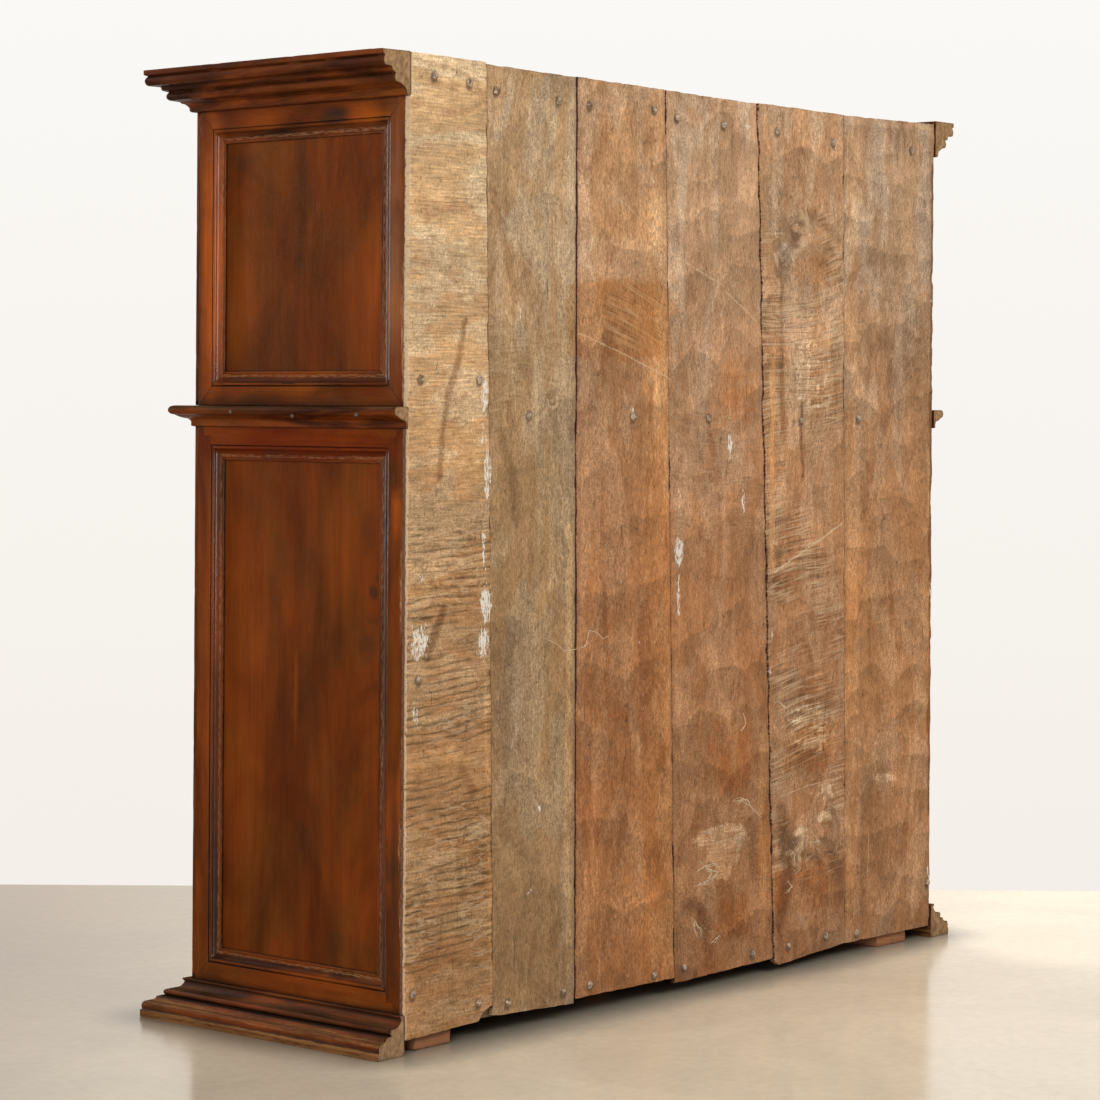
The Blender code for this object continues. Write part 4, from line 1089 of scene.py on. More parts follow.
def points_of(mesh):
    flat = np.empty(len(mesh.vertices) * 3)
    mesh.vertices.foreach_get("co", flat)
    return flat.reshape(-1, 3)


def store(mesh, name, values):
    """Keeps one number per vertex for the material to read."""
    layer = mesh.attributes.new(name, "FLOAT", "POINT")
    layer.data.foreach_set("value", np.asarray(values, np.float32).ravel())


def store_grain(mesh, axis_of_face, offset):
    """Keeps, per face corner, the place counted along and across the grain, and which faces are end grain."""
    points = points_of(mesh)
    corner_vertex = np.empty(len(mesh.loops), np.int64)
    mesh.loops.foreach_get("vertex_index", corner_vertex)
    centres = np.empty(len(mesh.polygons) * 3)
    mesh.polygons.foreach_get("center", centres)
    normals = np.empty(len(mesh.polygons) * 3)
    mesh.polygons.foreach_get("normal", normals)
    counts = np.empty(len(mesh.polygons), np.int64)
    mesh.polygons.foreach_get("loop_total", counts)
    axes = axis_of_face(centres.reshape(-1, 3))
    ends = np.abs(normals.reshape(-1, 3)[np.arange(len(axes)), axes]) > 0.8
    corner_axis = np.repeat(axes, counts)
    places = points[corner_vertex]
    rows = np.arange(len(places))
    ordered = [places[rows, (corner_axis + shift) % 3] for shift in range(3)]
    grain = np.stack(ordered, 1) + offset
    layer = mesh.attributes.new("grain", "FLOAT_VECTOR", "CORNER")
    layer.data.foreach_set("vector", grain.astype(np.float32).ravel())
    layer = mesh.attributes.new("endgrain", "FLOAT", "CORNER")
    layer.data.foreach_set("value", np.repeat(ends, counts).astype(np.float32))


def along(axis):
    """Grain rule of a straight member."""
    return lambda centres: np.full(len(centres), axis)


def framed(node, across):
    """Grain rule of a mitred frame: upright in the stiles, level in the rails."""
    low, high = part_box(node)

    def rule(centres):
        side = np.minimum(centres[:, across] - low[across], high[across] - centres[:, across])
        end = np.minimum(centres[:, 2] - low.z, high.z - centres[:, 2])
        return np.where(side < end, 2, across)

    return rule


def store_mitres(mesh, node, across):
    """Keeps how far each vertex is from a frame's mitre lines."""
    low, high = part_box(node)
    points = points_of(mesh)
    side = np.minimum(points[:, across] - low[across], high[across] - points[:, across])
    end = np.minimum(points[:, 2] - low.z, high.z - points[:, 2])
    store(mesh, "mitre", side - end)
    store(mesh, "mitred", np.ones(len(points)))


def cad_solid(node):
    """The node's solid as a bmesh with whole faces."""
    solid_mesh = bmesh.new()
    solid_mesh.from_mesh(frame["nodes"][node].data)
    bmesh.ops.remove_doubles(solid_mesh, verts=solid_mesh.verts, dist=MERGE_DISTANCE)
    bmesh.ops.dissolve_limit(
        solid_mesh, angle_limit=FLAT_ANGLE, verts=solid_mesh.verts[:], edges=solid_mesh.edges[:]
    )
    return solid_mesh


def ease_edges(solid_mesh, width, shortest):
    """Rounds the sharp outer edges that are long enough to be worked edges."""
    edges = [
        edge for edge in solid_mesh.edges
        if edge.is_convex and edge.calc_length() > shortest and edge.calc_face_angle(0.0) > SHARP_ANGLE
    ]
    bmesh.ops.bevel(
        solid_mesh, geom=edges, offset=width, segments=2, profile=0.5, affect="EDGES", clamp_overlap=True
    )


def slice_solid(solid_mesh, axis, low, high, step):
    """Cuts every face across an axis at even steps."""
    normal = Vector((0.0, 0.0, 0.0))
    normal[axis] = 1.0
    count = max(2, round((high - low) / step))
    for cut in range(1, count):
        place = Vector((0.0, 0.0, 0.0))
        place[axis] = low + (high - low) * cut / count
        everything = solid_mesh.verts[:] + solid_mesh.edges[:] + solid_mesh.faces[:]
        bmesh.ops.bisect_plane(solid_mesh, geom=everything, dist=1e-7, plane_co=place, plane_no=normal)


def wear_solid(solid_mesh, wobble, chip, seed, sink):
    """Lets the faces waver and the edges lose small chips, into the wood; the foot stays on its seat."""
    solid_mesh.normal_update()
    solid_mesh.verts.ensure_lookup_table()
    points = np.array([vertex.co[:] for vertex in solid_mesh.verts])
    exposed = np.array([
        max((edge.calc_face_angle_signed(0.0) for edge in vertex.link_edges), default=0.0)
        for vertex in solid_mesh.verts
    ])
    first = points[:, 0] * 0.8 + points[:, 1] * 0.9 + points[:, 2] * 0.3
    second = points[:, 2] + points[:, 0] * 0.4 - points[:, 1] * 0.35
    depth = wobble * layered(first * 9, second * 9, seed, 3)
    bite = ease(layered(first * 38, second * 38, seed + 5, 3), 0.58, 0.80)
    depth += chip * bite * ease(exposed, 0.25, 0.7)
    seat = points[:, 2].min()
    for vertex, amount in zip(solid_mesh.verts, depth):
        on_seat = vertex.co.z < seat + MERGE_DISTANCE
        vertex.co -= vertex.normal * amount
        if on_seat:
            vertex.co.z = seat - sink


def shade_smooth(mesh):
    for face in mesh.polygons:
        face.use_smooth = True
    mesh.set_sharp_from_angle(angle=SMOOTH_ANGLE)


def worn_copy(
    node, material, grain_rule, cuts, width=0.0008, wobble=0.0003, chip=0.0008, shortest=0.015, sink=0.0,
):
    """A CAD node's solid with eased, slightly uneven edges, in place of the node."""
    low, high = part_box(node)
    worn = cad_solid(node)
    if width:
        ease_edges(worn, width, shortest)
    for axis, step in cuts:
        slice_solid(worn, axis, low[axis], high[axis], step)
    wear_solid(worn, wobble, chip, SEEDS[node], sink)
    mesh = bpy.data.meshes.new(node + "_finish")
    worn.to_mesh(mesh)
    worn.free()
    shade_smooth(mesh)
    store_grain(mesh, grain_rule, 0.37 * SEEDS[node])
    obj = piece_from(mesh, node + "_finish", material, node)
    weighted = obj.modifiers.new("even_shading", "WEIGHTED_NORMAL")
    weighted.keep_sharp = True
    return obj


def store_end_marks(mesh, node):
    """Keeps the orange patches, the pale patches of painted sheen, and the red and black patches of the right
    end.
    """
    points = points_of(mesh)
    waver = 0.010 * (layered(points[:, 1] * 40, points[:, 2] * 40, SEEDS[node] + 61, 3) - 0.5)
    y, z = points[:, 1] + waver, points[:, 2] + waver
    for name, patches in END_MARKS[node].items():
        masks = [power * patch_mask(y, z, *patch) for *patch, power in patches]
        store(mesh, name, gathered(masks, y.shape))


def store_rear_arris(mesh, node):
    """Keeps the rubbed rear edge of an end frame, beside the back boards."""
    points = points_of(mesh)
    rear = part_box(node)[1].y
    patchy = ease(layered(points[:, 2] * 14, points[:, 2] * 0, SEEDS[node] + 67, 3), 0.35, 0.60)
    store(mesh, "worn", ARRIS_WEAR * patchy * ease(points[:, 1], rear - ARRIS_WIDTH, rear))


def store_base_wear(mesh):
    """Keeps how far the foot of the base moulding is rubbed bare, and the painted shade in its grooves."""
    points = points_of(mesh)
    round_the_foot = points[:, 0] * 30 + points[:, 1] * 30
    height = points[:, 2] + 0.003 * (layered(round_the_foot, points[:, 2] * 0, 5, 3) - 0.5)
    plinth = 0.72 * (1 - ease(height, PLINTH_HEIGHT - 0.001, PLINTH_HEIGHT + 0.002))
    middle, half = BARE_RIDGE
    ridge = 0.50 * (1 - ease(np.abs(height - middle), 0.4 * half, half))
    store(mesh, "worn", np.maximum(plinth, ridge))
    # Painted shade: dark lines along the grooves
    dirt = [1.1 * (1 - ease(np.abs(points[:, 2] - groove), 0.0010, 0.0032)) for groove in BASE_GROOVES]
    store(mesh, "dark", gathered(dirt, height.shape))


def polish_ridges(mesh, flat_axis, upright, level):
    """Gives a frame's worked moulding thick varnish on its upright runs and dark stain on its level ones."""
    mesh.materials.append(upright)
    mesh.materials.append(level)
    for face in mesh.polygons:
        worked = abs(face.normal[flat_axis]) < RIDGE_FLATNESS
        face.material_index = int(worked) + int(worked and abs(face.normal.z) > LEVEL_SLOPE)


def dust_tops(mesh, material, slope):
    """Gives the faces that look up more than a slope a dull, dusty varnish."""
    mesh.materials.append(material)
    for face in mesh.polygons:
        face.material_index = int(face.normal.z > slope)


# Back boards

def board_outline(node):
    """Top corners and foot line of a board's rear face, from right to left."""
    points = np.array([vertex.co[:] for vertex in frame["nodes"][node].data.vertices])
    rear = points[points[:, 1] > points[:, 1].max() - MERGE_DISTANCE]
    unique = sorted({(round(x, 5), round(z, 5)) for x, y, z in rear}, reverse=True)
    middle = (points[:, 2].min() + points[:, 2].max()) / 2
    top = [point for point in unique if point[1] > middle]
    foot = [point for point in unique if point[1] < middle]
    return top, foot


def stations(length, step):
    """Places along a length, closer together near both ends."""
    inner = np.linspace(EDGE_ROWS[-1], length - EDGE_ROWS[-1], max(2, round(length / step)))
    head = np.array(EDGE_ROWS[:-1])
    return np.concatenate([head, inner, length - head[::-1]]) / length


def joints_of(node):
    """Numbers of the joints on the right and on the left of a board."""
    number = int(node[-1])
    return number - 1, number


def board_grid(node):
    """x and z of a board's ragged rear face on a grid, its whole x, and the distances to both edges."""
    (top_right, top_left), foot = board_outline(node)
    width = top_right[0] - top_left[0]
    across = stations(width, BOARD_COLUMN)
    up = stations(top_right[1], BOARD_LOOKS[node].row)
    share, rise = np.meshgrid(across, up)
    foot_share = [(foot[0][0] - x) / (foot[0][0] - foot[-1][0]) for x, z in foot]
    foot_z = np.interp(share, foot_share, [z for x, z in foot])
    foot_x = foot[0][0] + (foot[-1][0] - foot[0][0]) * share
    top_x = top_right[0] + (top_left[0] - top_right[0]) * share
    top_z = top_right[1] + (top_left[1] - top_right[1]) * share
    x = foot_x + (top_x - foot_x) * rise
    z = foot_z + (top_z - foot_z) * rise
    seed = SEEDS[node]
    joints = joints_of(node)
    bites = [JOINT_BITES[joints[k]] * layered(z * 70, z * 0 + 0.5, seed + 3 * k, 5) ** 2 for k in (0, 1)]
    drift = [JOINT_WANDER[joint] * (2 * layered(z * 18, z * 0 + 0.5, joint + 300, 5) - 1) for joint in joints]
    near = EDGE_REACH / width
    at_right, at_left = 1 - ease(share, 0.0, near), ease(share, 1 - near, 1.0)
    x += drift[1] * at_left + drift[0] * at_right
    whole_x = x.copy()
    x += bites[1] * at_left - bites[0] * at_right
    if node == "back_board_1":
        beside_cornice = ease(z, CORNICE_FOOT, CORNICE_FOOT + SLIT_FADE)
        beside_base = 1 - ease(z, BASE_TOP - SLIT_FADE, BASE_TOP)
        beside_moulding = beside_cornice + BASE_SLIT_SHARE * beside_base
        x -= SLIT_WIDTH * beside_moulding * at_right
    end_bite = END_BITE * layered(x * 45, x * 0 + 0.5, seed + 9, 5) ** 2
    z += end_bite * (1 - ease(rise, 0.0, 0.012)) - end_bite * ease(rise, 0.988, 1.0)
    return x, z, whole_x, share * width, (1 - share) * width


def board_surface(node, x, z, edge):
    """How far the rear face lies below its highest plane, the tone of its facets, and its saw grooves."""
    look, seed = BOARD_LOOKS[node], SEEDS[node]
    depth = BOW_DEPTH * layered(x * 8, z * 3, seed + 11, 3)
    rounded, round_reach = EDGE_ROUND
    depth += rounded * np.exp(-edge / round_reach)
    broken = ease(layered(x * 60, z * 30, seed + 19, 4), 0.56, 0.75)
    broken_away, break_reach = EDGE_BREAK
    depth += broken_away * broken * np.exp(-edge / break_reach)
    for knot_x, knot_z, radius in KNOTS:
        away = np.hypot(x - knot_x, z - knot_z) * (0.8 + 0.4 * layered(x * 60, z * 60, seed + 53, 2))
        depth += KNOT_HEART * np.exp(-((away - radius) / (0.55 * radius)) ** 2)
        depth += KNOT_RIM * np.exp(-((away - 2.6 * radius) / (0.5 * radius)) ** 2)
    wide, tall = look.facet_size
    bend = 0.5 * layered(x * 9, z * 9, seed + 47, 3)
    hollow, tone = facets(x / wide + bend, z / tall + bend, seed + 17)
    depth += look.facet_depth * hollow
    groove = np.zeros(x.shape)
    if node == "back_board_1":
        groove, groove_depth = saw_grooves(x, z, seed)
        depth += groove_depth
    return depth, tone, groove


def surface_of_back(points):
    """Places on the worn rear face of the boards for points (x, z)."""
    places = []
    for x, z in points:
        node = next(name for name in BOARD_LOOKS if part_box(name)[0].x - 0.01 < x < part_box(name)[1].x + 0.01)
        depth = board_surface(node, np.array([x]), np.array([z]), np.array([0.05]))[0][0]
        places.append((x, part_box(node)[1].y - depth, z))
    return places


def solid_from_grid(x, y, z, inner_x, inner_y):
    """Closed mesh data: the gridded rear face, its four sides and a flat inner face."""
    rows, columns = x.shape
    index = np.arange(rows * columns).reshape(rows, columns)
    rear = np.stack([x.ravel(), y.ravel(), z.ravel()], 1)
    quads = np.stack([index[:-1, :-1], index[:-1, 1:], index[1:, 1:], index[1:, :-1]], -1).reshape(-1, 4)
    loop = np.concatenate([index[0, :-1], index[:-1, -1], index[-1, :0:-1], index[:0:-1, 0]])
    inner = rear[loop].copy()
    inner[:, 0] = inner_x.ravel()[loop]
    inner[:, 1] = inner_y
    ring = np.arange(len(loop)) + len(rear)
    walls = np.stack([np.roll(loop, -1), loop, ring, np.roll(ring, -1)], 1)
    faces = quads.tolist() + walls.tolist() + [ring[::-1].tolist()]
    return np.concatenate([rear, inner]), faces, loop


def add_back_board(node, inside):
    """One rough back board with its marks and a plain inner face, in place of the plain solid."""
    look = BOARD_LOOKS[node]
    seed = SEEDS[node]
    low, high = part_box(node)
    x, z, whole_x, right_edge, left_edge = board_grid(node)
    depth, tone, groove = board_surface(node, x, z, np.minimum(right_edge, left_edge))
    points, faces, loop = solid_from_grid(x, high.y - depth, z, whole_x, low.y)
    mesh = bpy.data.meshes.new(node + "_finish")
    mesh.from_pydata(points.tolist(), [], faces)
    mesh.validate()
    shade_smooth(mesh)
    right_seam, left_seam = [JOINT_SEAMS[joint] for joint in joints_of(node)]
    at_right, at_left = np.exp(-right_edge / SEAM_REACH), np.exp(-left_edge / SEAM_REACH)
    dirt_right, dirt_left = np.exp(-right_edge / DIRT_REACH), np.exp(-left_edge / DIRT_REACH)
    outer = np.maximum(at_right * (right_seam == 0.0), at_left * (left_seam == 0.0))
    layers = {
        "groove": groove,
        "facet": tone * look.facet_tone,
        "seam": np.maximum(right_seam * at_right, left_seam * at_left),
        "dirt": np.maximum(right_seam * dirt_right, left_seam * dirt_left),
        "arris": outer,
    }
    for name, values in layers.items():
        store(mesh, name, np.concatenate([values.ravel(), values.ravel()[loop]]))
    height = z.ravel()[loop]
    flank = outer.ravel()[loop]
    # Above the waist the flank is less dark: bare wood, with painted light where it catches the light
    bared_and_lit = np.where(height > WAIST_TOP, PALE_FLANK, 1.0)
    store(mesh, "flank", np.concatenate([np.zeros(x.size), flank * bared_and_lit]))
    # Painted shade: the flank is marked black where it stands in the slit beside the cornice and base moulding
    hidden = (height > CORNICE_FOOT) | (height < BASE_TOP)
    store(mesh, "slit", np.concatenate([np.zeros(x.size), flank * hidden]))
    store_board_marks(mesh, look, seed, points[:, 0], points[:, 2])
    store_grain(mesh, along(2), 0.37 * seed)
    piece_from(mesh, node + "_finish", BoardGraph(node + "_wood", look, low, high).finish(), node)
    mesh.materials.append(inside)
    mesh.polygons[-1].material_index = 1


def store_board_marks(mesh, look, seed, x, z):
    """Masks of the stains, scratches, patches and saw marks for the board's material."""
    wander = 0.014 * (layered(x * 20, z * 20, seed + 23, 4) - 0.5)
    sx, sz = x + wander, z + wander
    dark = [strength * line_mask(sx, sz, line, width) for line, width, strength in DARK_STREAKS]
    warm = [strength * line_mask(sx, z, line, width) for line, width, strength in WARM_STREAKS]
    spans = [
        strength * ease(z + 3 * wander, low, low + 0.06) * (1 - ease(z + 3 * wander, high - 0.04, high))
        for low, high, strength in look.mark_spans
    ]
    patchy = 0.15 + 0.85 * ease(layered(x * 9, z * 9, seed + 29, 3), 0.34, 0.62)
    rust_x, rust_z = RUST_SHIFT
    masks = {
        "dark": dark,
        "warm": warm,
        "rust": [patch_mask(x, z, nx + rust_x, nz + rust_z, *RUST_HALF) for nx, nz in BACK_NAILS],
        "marks": [patchy * gathered(spans, x.shape) * (1 - 0.8 * gathered(warm, x.shape))],
    }
    for name, (squareness, patches) in BOARD_PATCHES.items():
        masks[name] = [power * patch_mask(sx, sz, *patch, squareness) for *patch, power in patches]
    for name, parts in masks.items():
        store(mesh, name, gathered(parts, x.shape))


# Iron and fibres

def bridge(solid_mesh, first, second):
    """A band of faces between two rings of vertices."""
    for side in range(len(first)):
        after = (side + 1) % len(first)
        solid_mesh.faces.new((first[side], first[after], second[after], second[side]))


def close_rings(solid_mesh, rows):
    """A closed skin over rings of vertices."""
    for lower, upper in zip(rows, rows[1:]):
        bridge(solid_mesh, lower, upper)
    solid_mesh.faces.new(rows[0][::-1])
    solid_mesh.faces.new(rows[-1])


def piece_of(solid_mesh, name, material, body, slot):
    """Makes a finished bmesh a piece of its own, which replaces no node."""
    bmesh.ops.recalc_face_normals(solid_mesh, faces=solid_mesh.faces[:])
    mesh = bpy.data.meshes.new(name)
    solid_mesh.to_mesh(mesh)
    solid_mesh.free()
    piece_from(mesh, name, material, body=body, slot=slot)


def nail_head(solid_mesh, centre, outward, radius, height, seed):
    """An uneven hammered head: facets from a rim up to a low crown, and a short root into the wood."""
    across = UPRIGHT.cross(outward).normalized()
    rows = []
    for ring, (share, lift) in enumerate(NAIL_RINGS):
        row = []
        for side in range(NAIL_SIDES):
            turn = math.tau * side / NAIL_SIDES
            jitter = 0.84 + 0.32 * float(lattice(np.int64(side), np.int64(seed), ring // 2))
            reach = radius * share * jitter
            place = centre + outward * (lift * height)
            place = place + across * (reach * math.cos(turn)) + UPRIGHT * (reach * math.sin(turn))
            row.append(solid_mesh.verts.new(place))
        rows.append(row)
    close_rings(solid_mesh, rows)


def add_nails(name, places, outward, radius, material):
    """All nails of one row as one piece."""
    heads = bmesh.new()
    for seed, place in enumerate(places):
        size = radius * (0.85 + 0.3 * float(lattice(np.int64(seed), np.int64(3), 91)))
        nail_head(heads, Vector(place), Vector(outward), size, NAIL_HEIGHT * size / NAIL_RADIUS, seed)
    piece_of(heads, name, material, "carcass", "forged_iron")


def fibre_tube(solid_mesh, line, radius, seed, sway):
    """A thin closed tube along a curled line of points on the back, thinner at both ends."""
    knots = np.array(line)
    share = np.linspace(0.0, 1.0, 7 * (len(knots) - 1) + 1)
    bent = [np.interp(share, np.linspace(0.0, 1.0, len(knots)), knots[:, axis]) for axis in (0, 1)]
    for axis in (0, 1):
        bent[axis][1:-1] = (bent[axis][:-2] + 2 * bent[axis][1:-1] + bent[axis][2:]) / 4
        bent[axis] += sway * (layered(share * 5, share * 0 + axis, seed + 71, 2) - 0.5)
    centres = [Vector(place) for place in surface_of_back(zip(*bent))]
    rows = []
    for index, centre in enumerate(centres):
        run = (centres[min(index + 1, len(centres) - 1)] - centres[max(index - 1, 0)]).normalized()
        beside = run.cross(REARWARD).normalized()
        out = beside.cross(run)
        reach = radius * (0.35 + 0.65 * math.sin(math.pi * (0.08 + 0.84 * share[index])))
        row = []
        for side in range(FIBRE_SIDES):
            turn = math.tau * side / FIBRE_SIDES
            away = (beside * math.cos(turn) + out * math.sin(turn)) * reach
            row.append(solid_mesh.verts.new(centre + away))
        rows.append(row)
    close_rings(solid_mesh, rows)


def add_fibres():
    """Torn fibres and the thread on the back, as one piece."""
    tubes = bmesh.new()
    for seed, line in enumerate(LOOSE_FIBRES):
        for copy in range(1 if line is LOOSE_FIBRES[-1] else FIBRE_COPIES):
            fibre_tube(tubes, line, FIBRE_RADIUS * (1.0 - 0.2 * copy), seed + 40 * copy, 0.005 + 0.010 * copy)
    graph = Graph("pale_fibre")
    tone = graph.noise(graph.place(), (160.0, 160.0, 160.0), 3.0, 0.6)
    colour = graph.toned(TORN, tone, 0.3, 0.7, 0.75, 1.15)
    piece_of(tubes, "loose_fibres", graph.set(Base_Color=colour, Roughness=0.8), "carcass", "raw_board")


# Stage

def add_plane(name, matrix, size, material):
    """A flat stage sheet, facing along its own +Z."""
    half_x, half_y = size[0] / 2, size[1] / 2
    corners = [(-half_x, -half_y, 0), (half_x, -half_y, 0), (half_x, half_y, 0), (-half_x, half_y, 0)]
    mesh = bpy.data.meshes.new(name)
    mesh.from_pydata(corners, [], [(0, 1, 2, 3)])
    mesh.materials.append(material)
    obj = bpy.data.objects.new(name, mesh)
    obj.matrix_world = matrix
    bpy.context.scene.collection.objects.link(obj)
    obj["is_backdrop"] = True


def camera_axes():
    """Right, up and forward of the camera."""
    turn = math.radians(CAMERA_AZIMUTH_DEG)
    roll = math.radians(CAMERA_ROLL_DEG)
    forward = Vector((-math.sin(turn), math.cos(turn), 0.0))
    level = forward.cross(UPRIGHT)
    upright = level.cross(forward)
    right = level * math.cos(roll) + upright * math.sin(roll)
    up = upright * math.cos(roll) - level * math.sin(roll)
    return right, up, forward


def facing(right, up, back, place):
    """A placing matrix from three axes and a point."""
    matrix = Matrix((right, up, back)).transposed().to_4x4()
    matrix.translation = place
    return matrix


def add_camera():
    right, up, forward = camera_axes()
    data = bpy.data.cameras.new("camera")
    data.sensor_width = SENSOR_WIDTH_MM
    data.lens = LENS_MM
    data.shift_y = -VIEW_DROP
    camera = bpy.data.objects.new("camera", data)
    camera.matrix_world = facing(right, up, -forward, Vector(CAMERA_PLACE))
    bpy.context.scene.collection.objects.link(camera)
    bpy.context.scene.camera = camera


def floor_material():
    """Pale ground concrete with a soft sheen, painted darker towards one side as shade, and with a painted
    shadow round the object's footprint.
    """
    graph = Graph("studio_floor")
    place = graph.place()
    right = camera_axes()[0]
    aside = graph.vector("DOT_PRODUCT", place, right, "Value")
    # Painted shade: darker and warmer towards the left across the view
    colour = graph.mixed(graph.ranged(aside, *FLOOR_SPAN), solid(FLOOR_LEFT), solid(FLOOR_RIGHT))
    cloud = graph.noise(place, (1.7, 1.7, 1.7), 6.0, 0.6, 0.6)
    colour = graph.toned(colour, cloud, 0.3, 0.7, 0.90, 1.08)
    # Painted shadow: the floor darkens near the object's footprint
    low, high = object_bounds()
    centre = ((low[0] + high[0]) / 2, (low[1] + high[1]) / 2, 0.0)
    half = ((high[0] - low[0]) / 2 - CONTACT_INSET, (high[1] - low[1]) / 2 - CONTACT_INSET, 1.0)
    outside = graph.vector("ABSOLUTE", graph.vector("SUBTRACT", place, centre))
    outside = graph.vector("MAXIMUM", graph.vector("SUBTRACT", outside, half))
    away = graph.vector("LENGTH", outside, output="Value")
    colour = graph.toned(colour, away, 0.0, CONTACT_REACH, CONTACT_SHADE, 1.0)
    speck = graph.noise(place, (45.0, 45.0, 45.0), 5.0, 0.65)
    colour = graph.toned(colour, speck, 0.3, 0.7, 0.95, 1.04)
    graph.shader.inputs["Specular IOR Level"].default_value = 0.35
    return graph.set(Base_Color=colour, Roughness=graph.ranged(cloud, 0.3, 0.7, 0.13, 0.20))


def backdrop_material():
    """White sheet that shows to the camera and in reflections from its front only, and casts no light."""
    graph = Graph("studio_backdrop")
    graph.tree.nodes.remove(graph.shader)
    # Painted shade: the sheet darkens towards its foot
    height = graph.add("SeparateXYZ", {0: graph.place()}).outputs[1]
    foot = -BACKDROP_SIZE[1] / 2
    fade = graph.add("MapRange", {"Value": height, "From Min": foot, "From Max": foot + WALL_FADE}).outputs[0]
    tone = graph.mixed(fade, solid(WALL_FOOT), solid(WALL_TOP))
    glow = graph.add("Emission", {"Color": tone}).outputs[0]
    clear = graph.add("BsdfTransparent", {}).outputs[0]
    front = graph.minus(1.0, graph.add("NewGeometry", {}).outputs["Backfacing"])
    shown = graph.times(graph.seen_rays(), front)
    sheet = graph.add("MixShader", {0: shown, 1: clear, 2: glow}).outputs[0]
    graph.feed(graph.found("OUTPUT_MATERIAL").inputs["Surface"], sheet)
    return graph.material


def add_stage():
    """The floor, and a wall square to the view."""
    add_plane("floor", Matrix.Identity(4), (FLOOR_SIZE, FLOOR_SIZE), floor_material())
    forward = camera_axes()[2]
    place = Vector(CAMERA_PLACE) + forward * BACKDROP_DISTANCE
    place.z = BACKDROP_SIZE[1] / 2
    matrix = facing(forward.cross(UPRIGHT), UPRIGHT, -forward, place)
    add_plane("backdrop", matrix, BACKDROP_SIZE, backdrop_material())


def set_world():
    """Even studio light, seen by the camera and in reflections as near white."""
    world = bpy.data.worlds.new("studio")
    bpy.context.scene.world = world
    world.use_nodes = True
    nodes = Nodes(world.node_tree)
    background = nodes.found("BACKGROUND")
    background.inputs["Color"].default_value = solid(WORLD_TINT)
    level = nodes.add("MapRange", {"Value": nodes.seen_rays(), "To Min": WORLD_LIGHT, "To Max": WORLD_SEEN})
    nodes.feed(background.inputs["Strength"], level.outputs[0])


# Soft lamps: place, what they face, size and power
LAMPS = {
    "lamp_rear": ((-1.2, 4.6, 3.7), (0.0, 0.3, 0.8), (3.0, 2.4), 167.0),
    "lamp_end": ((4.3, 1.9, 1.7), (0.78, 0.0, 0.9), (1.8, 2.6), 125.0),
    "lamp_glint": ((1.5, -4.8, 1.9), (0.80, 0.0, 0.9), (0.30, 2.6), 70.0),
    "lamp_front": ((-2.4, -4.4, 3.6), (0.0, -0.2, 0.9), (2.6, 2.6), 210.0),
    "lamp_far_end": ((-4.4, -0.4, 3.4), (-0.7, 0.0, 1.0), (1.8, 1.8), 100.0),
}
# These would show as bright oblongs in the floor
UNSEEN_LAMPS = ("lamp_rear", "lamp_front", "lamp_far_end")


def add_lamps():
    for name, (place, aim, size, power) in LAMPS.items():
        data = bpy.data.lights.new(name, "AREA")
        data.shape = "RECTANGLE"
        data.size, data.size_y = size
        data.energy = power
        lamp = bpy.data.objects.new(name, data)
        lamp.location = place
        lamp.rotation_euler = (Vector(aim) - Vector(place)).to_track_quat("-Z", "Y").to_euler()
        lamp.visible_glossy = name not in UNSEEN_LAMPS
        bpy.context.scene.collection.objects.link(lamp)


# Assembly

def add_boards():
    """The six back boards; the joint between the fourth and fifth is the most broken."""
    inside = plain_material("inside_back")
    for node in BOARD_LOOKS:
        add_back_board(node, inside)


def add_frame(node, across, step, looks, **wear):
    """A mitred frame with varnished uprights and stained level runs in its moulding."""
    rule = framed(node, across)
    piece = worn_copy(node, looks["stained_frames"], rule, [(across, step), (2, step)], **wear)
    store_mitres(piece.data, node, across)
    polish_ridges(piece.data, 1 - across, looks["varnished_ridges"], looks["worked_rails"])
    return piece


def add_mouldings(run, looks):
    """One moulding round the front and both ends."""
    mouldings = looks["stained_mouldings"]
    pieces = [worn_copy(run + "_front", mouldings, along(0), [(0, FRONT_STEP)], chip=MOULDING_CHIP)]
    for side in SIDES:
        pieces.append(worn_copy(f"{run}_{side}", mouldings, along(1), [(1, RUN_STEP)], chip=MOULDING_CHIP))
    for piece in pieces:
        dust_tops(piece.data, looks["dusty_tops"], WAIST_SLOPE if run == "waist_moulding" else TOP_SLOPE)
        if run == "base_moulding":
            store_base_wear(piece.data)


def add_end(tier, side, looks):
    """Frame and panel of one end, with the marks of the end that the photo shows."""
    frame_node, panel_node = f"{tier}_end_{side}_frame", f"{tier}_end_{side}_panel"
    piece = add_frame(frame_node, 1, END_STEP, looks, chip=END_CHIP, sink=SEAT_SINK)
    store_rear_arris(piece.data, frame_node)
    steps = [(1, END_PANEL_STEP), (2, END_PANEL_STEP)]
    panel = worn_copy(panel_node, looks["stained_panels"], along(2), steps, chip=0.0)
    if side == "right":
        store_end_marks(piece.data, frame_node)
        store_end_marks(panel.data, panel_node)


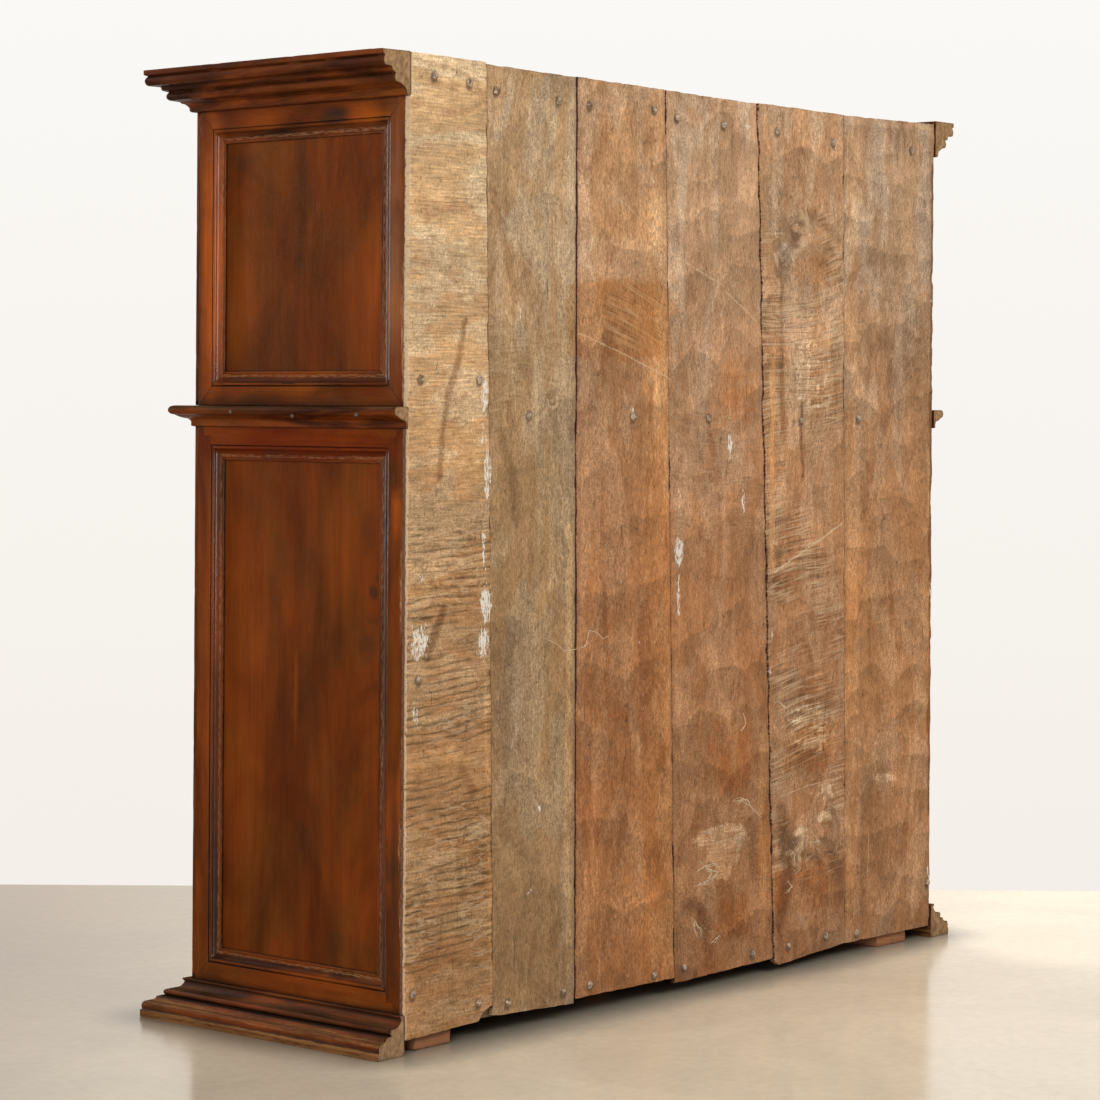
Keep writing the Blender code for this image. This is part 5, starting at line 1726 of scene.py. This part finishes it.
def add_door(tier, side, looks):
    """Frame, panel and turned knob of one door; the knob shows no end grain."""
    door = f"{tier}_door_{side}"
    add_frame(door + "_frame", 0, DOOR_STEP, looks, chip=DOOR_CHIP)
    steps = [(0, DOOR_PANEL_STEP), (2, DOOR_PANEL_STEP)]
    worn_copy(door + "_panel", looks["stained_panels"], along(2), steps, chip=0.0)
    knob = worn_copy(door + "_knob", looks["stained_frames"], along(1), [], **KNOB_WEAR).data
    knob.attributes["endgrain"].data.foreach_set("value", np.zeros(len(knob.loops), np.float32))


def add_woodwork():
    """Mouldings, frames, panels, posts, knobs and inside boards, each worn a little."""
    looks = {name: stained_material(name) for name in STAIN_LOOKS}
    inside = plain_material("inside_wood")
    block = plain_material("foot_block_wood")
    for run in ("cornice", "waist_moulding", "base_moulding"):
        add_mouldings(run, looks)
    for tier in TIERS:
        for side in SIDES:
            add_end(tier, side, looks)
            add_door(tier, side, looks)
            post = f"{tier}_post_{side}"
            worn_copy(post, looks["stained_frames"], along(2), [(2, POST_STEP)], chip=PLAIN_CHIP)
    for node in ("top_board", "waist_board", "bottom_board", "lower_shelf"):
        worn_copy(node, inside, along(0), [(0, BOARD_STEP)], chip=PLAIN_CHIP)
    for side in SIDES:
        worn_copy(f"shelf_cleat_{side}", inside, along(1), [(1, CLEAT_STEP)])
    for node in ("foot_middle", "foot_rear_left", "foot_rear_right"):
        worn_copy(node, block, along(0), BLOCK_STEPS, **BLOCK_WEAR)


def keyhole_reach(turn):
    """Distance from the key's axis to the edge of a keyhole, at an angle: a round eye over a slot."""
    if math.sin(turn) > -0.5:
        return KEYHOLE_EYE
    slot = min(KEYHOLE_SLOT / max(abs(math.cos(turn)), 1e-6), KEYHOLE_DROP / abs(math.sin(turn)))
    return max(KEYHOLE_EYE, slot)


def add_escutcheon(tier, material):
    """A thin iron plate with a keyhole on the door's face, held by two pins."""
    joint = next(row for row in frame["record"]["behaviour"]["joints"] if row["name"] == tier + "_key_turn")
    centre = Vector(joint["pos_m"])
    plate = bmesh.new()
    rings = []
    for front in (False, True):
        depth = -PLATE_THICKNESS if front else PLATE_SINK
        outer, inner = [], []
        for side in range(PLATE_SIDES):
            turn = math.tau * (side + 0.5) / PLATE_SIDES
            across, up = math.cos(turn), math.sin(turn)
            oval = 1 / math.hypot(across / PLATE_HALF[0], up / PLATE_HALF[1])
            reach = (1 + PLATE_WAVE * math.cos(4 * turn)) * oval
            for ring, distance in ((outer, reach), (inner, keyhole_reach(turn))):
                ring.append(plate.verts.new(centre + Vector((across * distance, depth, up * distance))))
        rings.append((outer, inner))
    (back_outer, back_inner), (front_outer, front_inner) = rings
    round_the_plate = (back_outer, front_outer, front_inner, back_inner, back_outer)
    for first, second in zip(round_the_plate, round_the_plate[1:]):
        bridge(plate, first, second)
    for end in (-1, 1):
        place = centre + Vector((0.0, -PLATE_THICKNESS, end * PLATE_PIN_RISE))
        nail_head(plate, place, -REARWARD, PLATE_PIN_RADIUS, PLATE_PIN_HEIGHT, end + 2)
    piece_of(plate, tier + "_escutcheon", material, tier + "_door_right", "forged_iron")


def add_ironwork():
    iron = iron_material("old_iron")
    for tier in TIERS:
        add_escutcheon(tier, iron)
    for node, slot in SLOT_OF.items():
        if slot == "forged_iron":
            frame["nodes"][node].data.materials.clear()
            frame["nodes"][node].data.materials.append(iron)
    nails = iron_material("nail_iron")
    add_nails("back_nails", surface_of_back(BACK_NAILS), REARWARD, NAIL_RADIUS, nails)
    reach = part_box("waist_moulding_right")[1].x
    places = [(reach - WAIST_NAIL_SINK, y, z) for y, z in WAIST_NAILS]
    nails = iron_material("dull_iron")
    add_nails("waist_nails", places, (1.0, 0.0, 0.0), WAIST_NAIL_RADIUS, nails)


clear_startup()
cad_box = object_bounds()
bpy.context.scene.view_settings.view_transform = "Standard"
add_camera()
add_stage()
set_world()
add_lamps()
add_boards()
add_woodwork()
add_ironwork()
add_fibres()

boxes = {"cad": cad_box, "visual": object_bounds()}
{name: [list(corner) for corner in box] for name, box in boxes.items()}
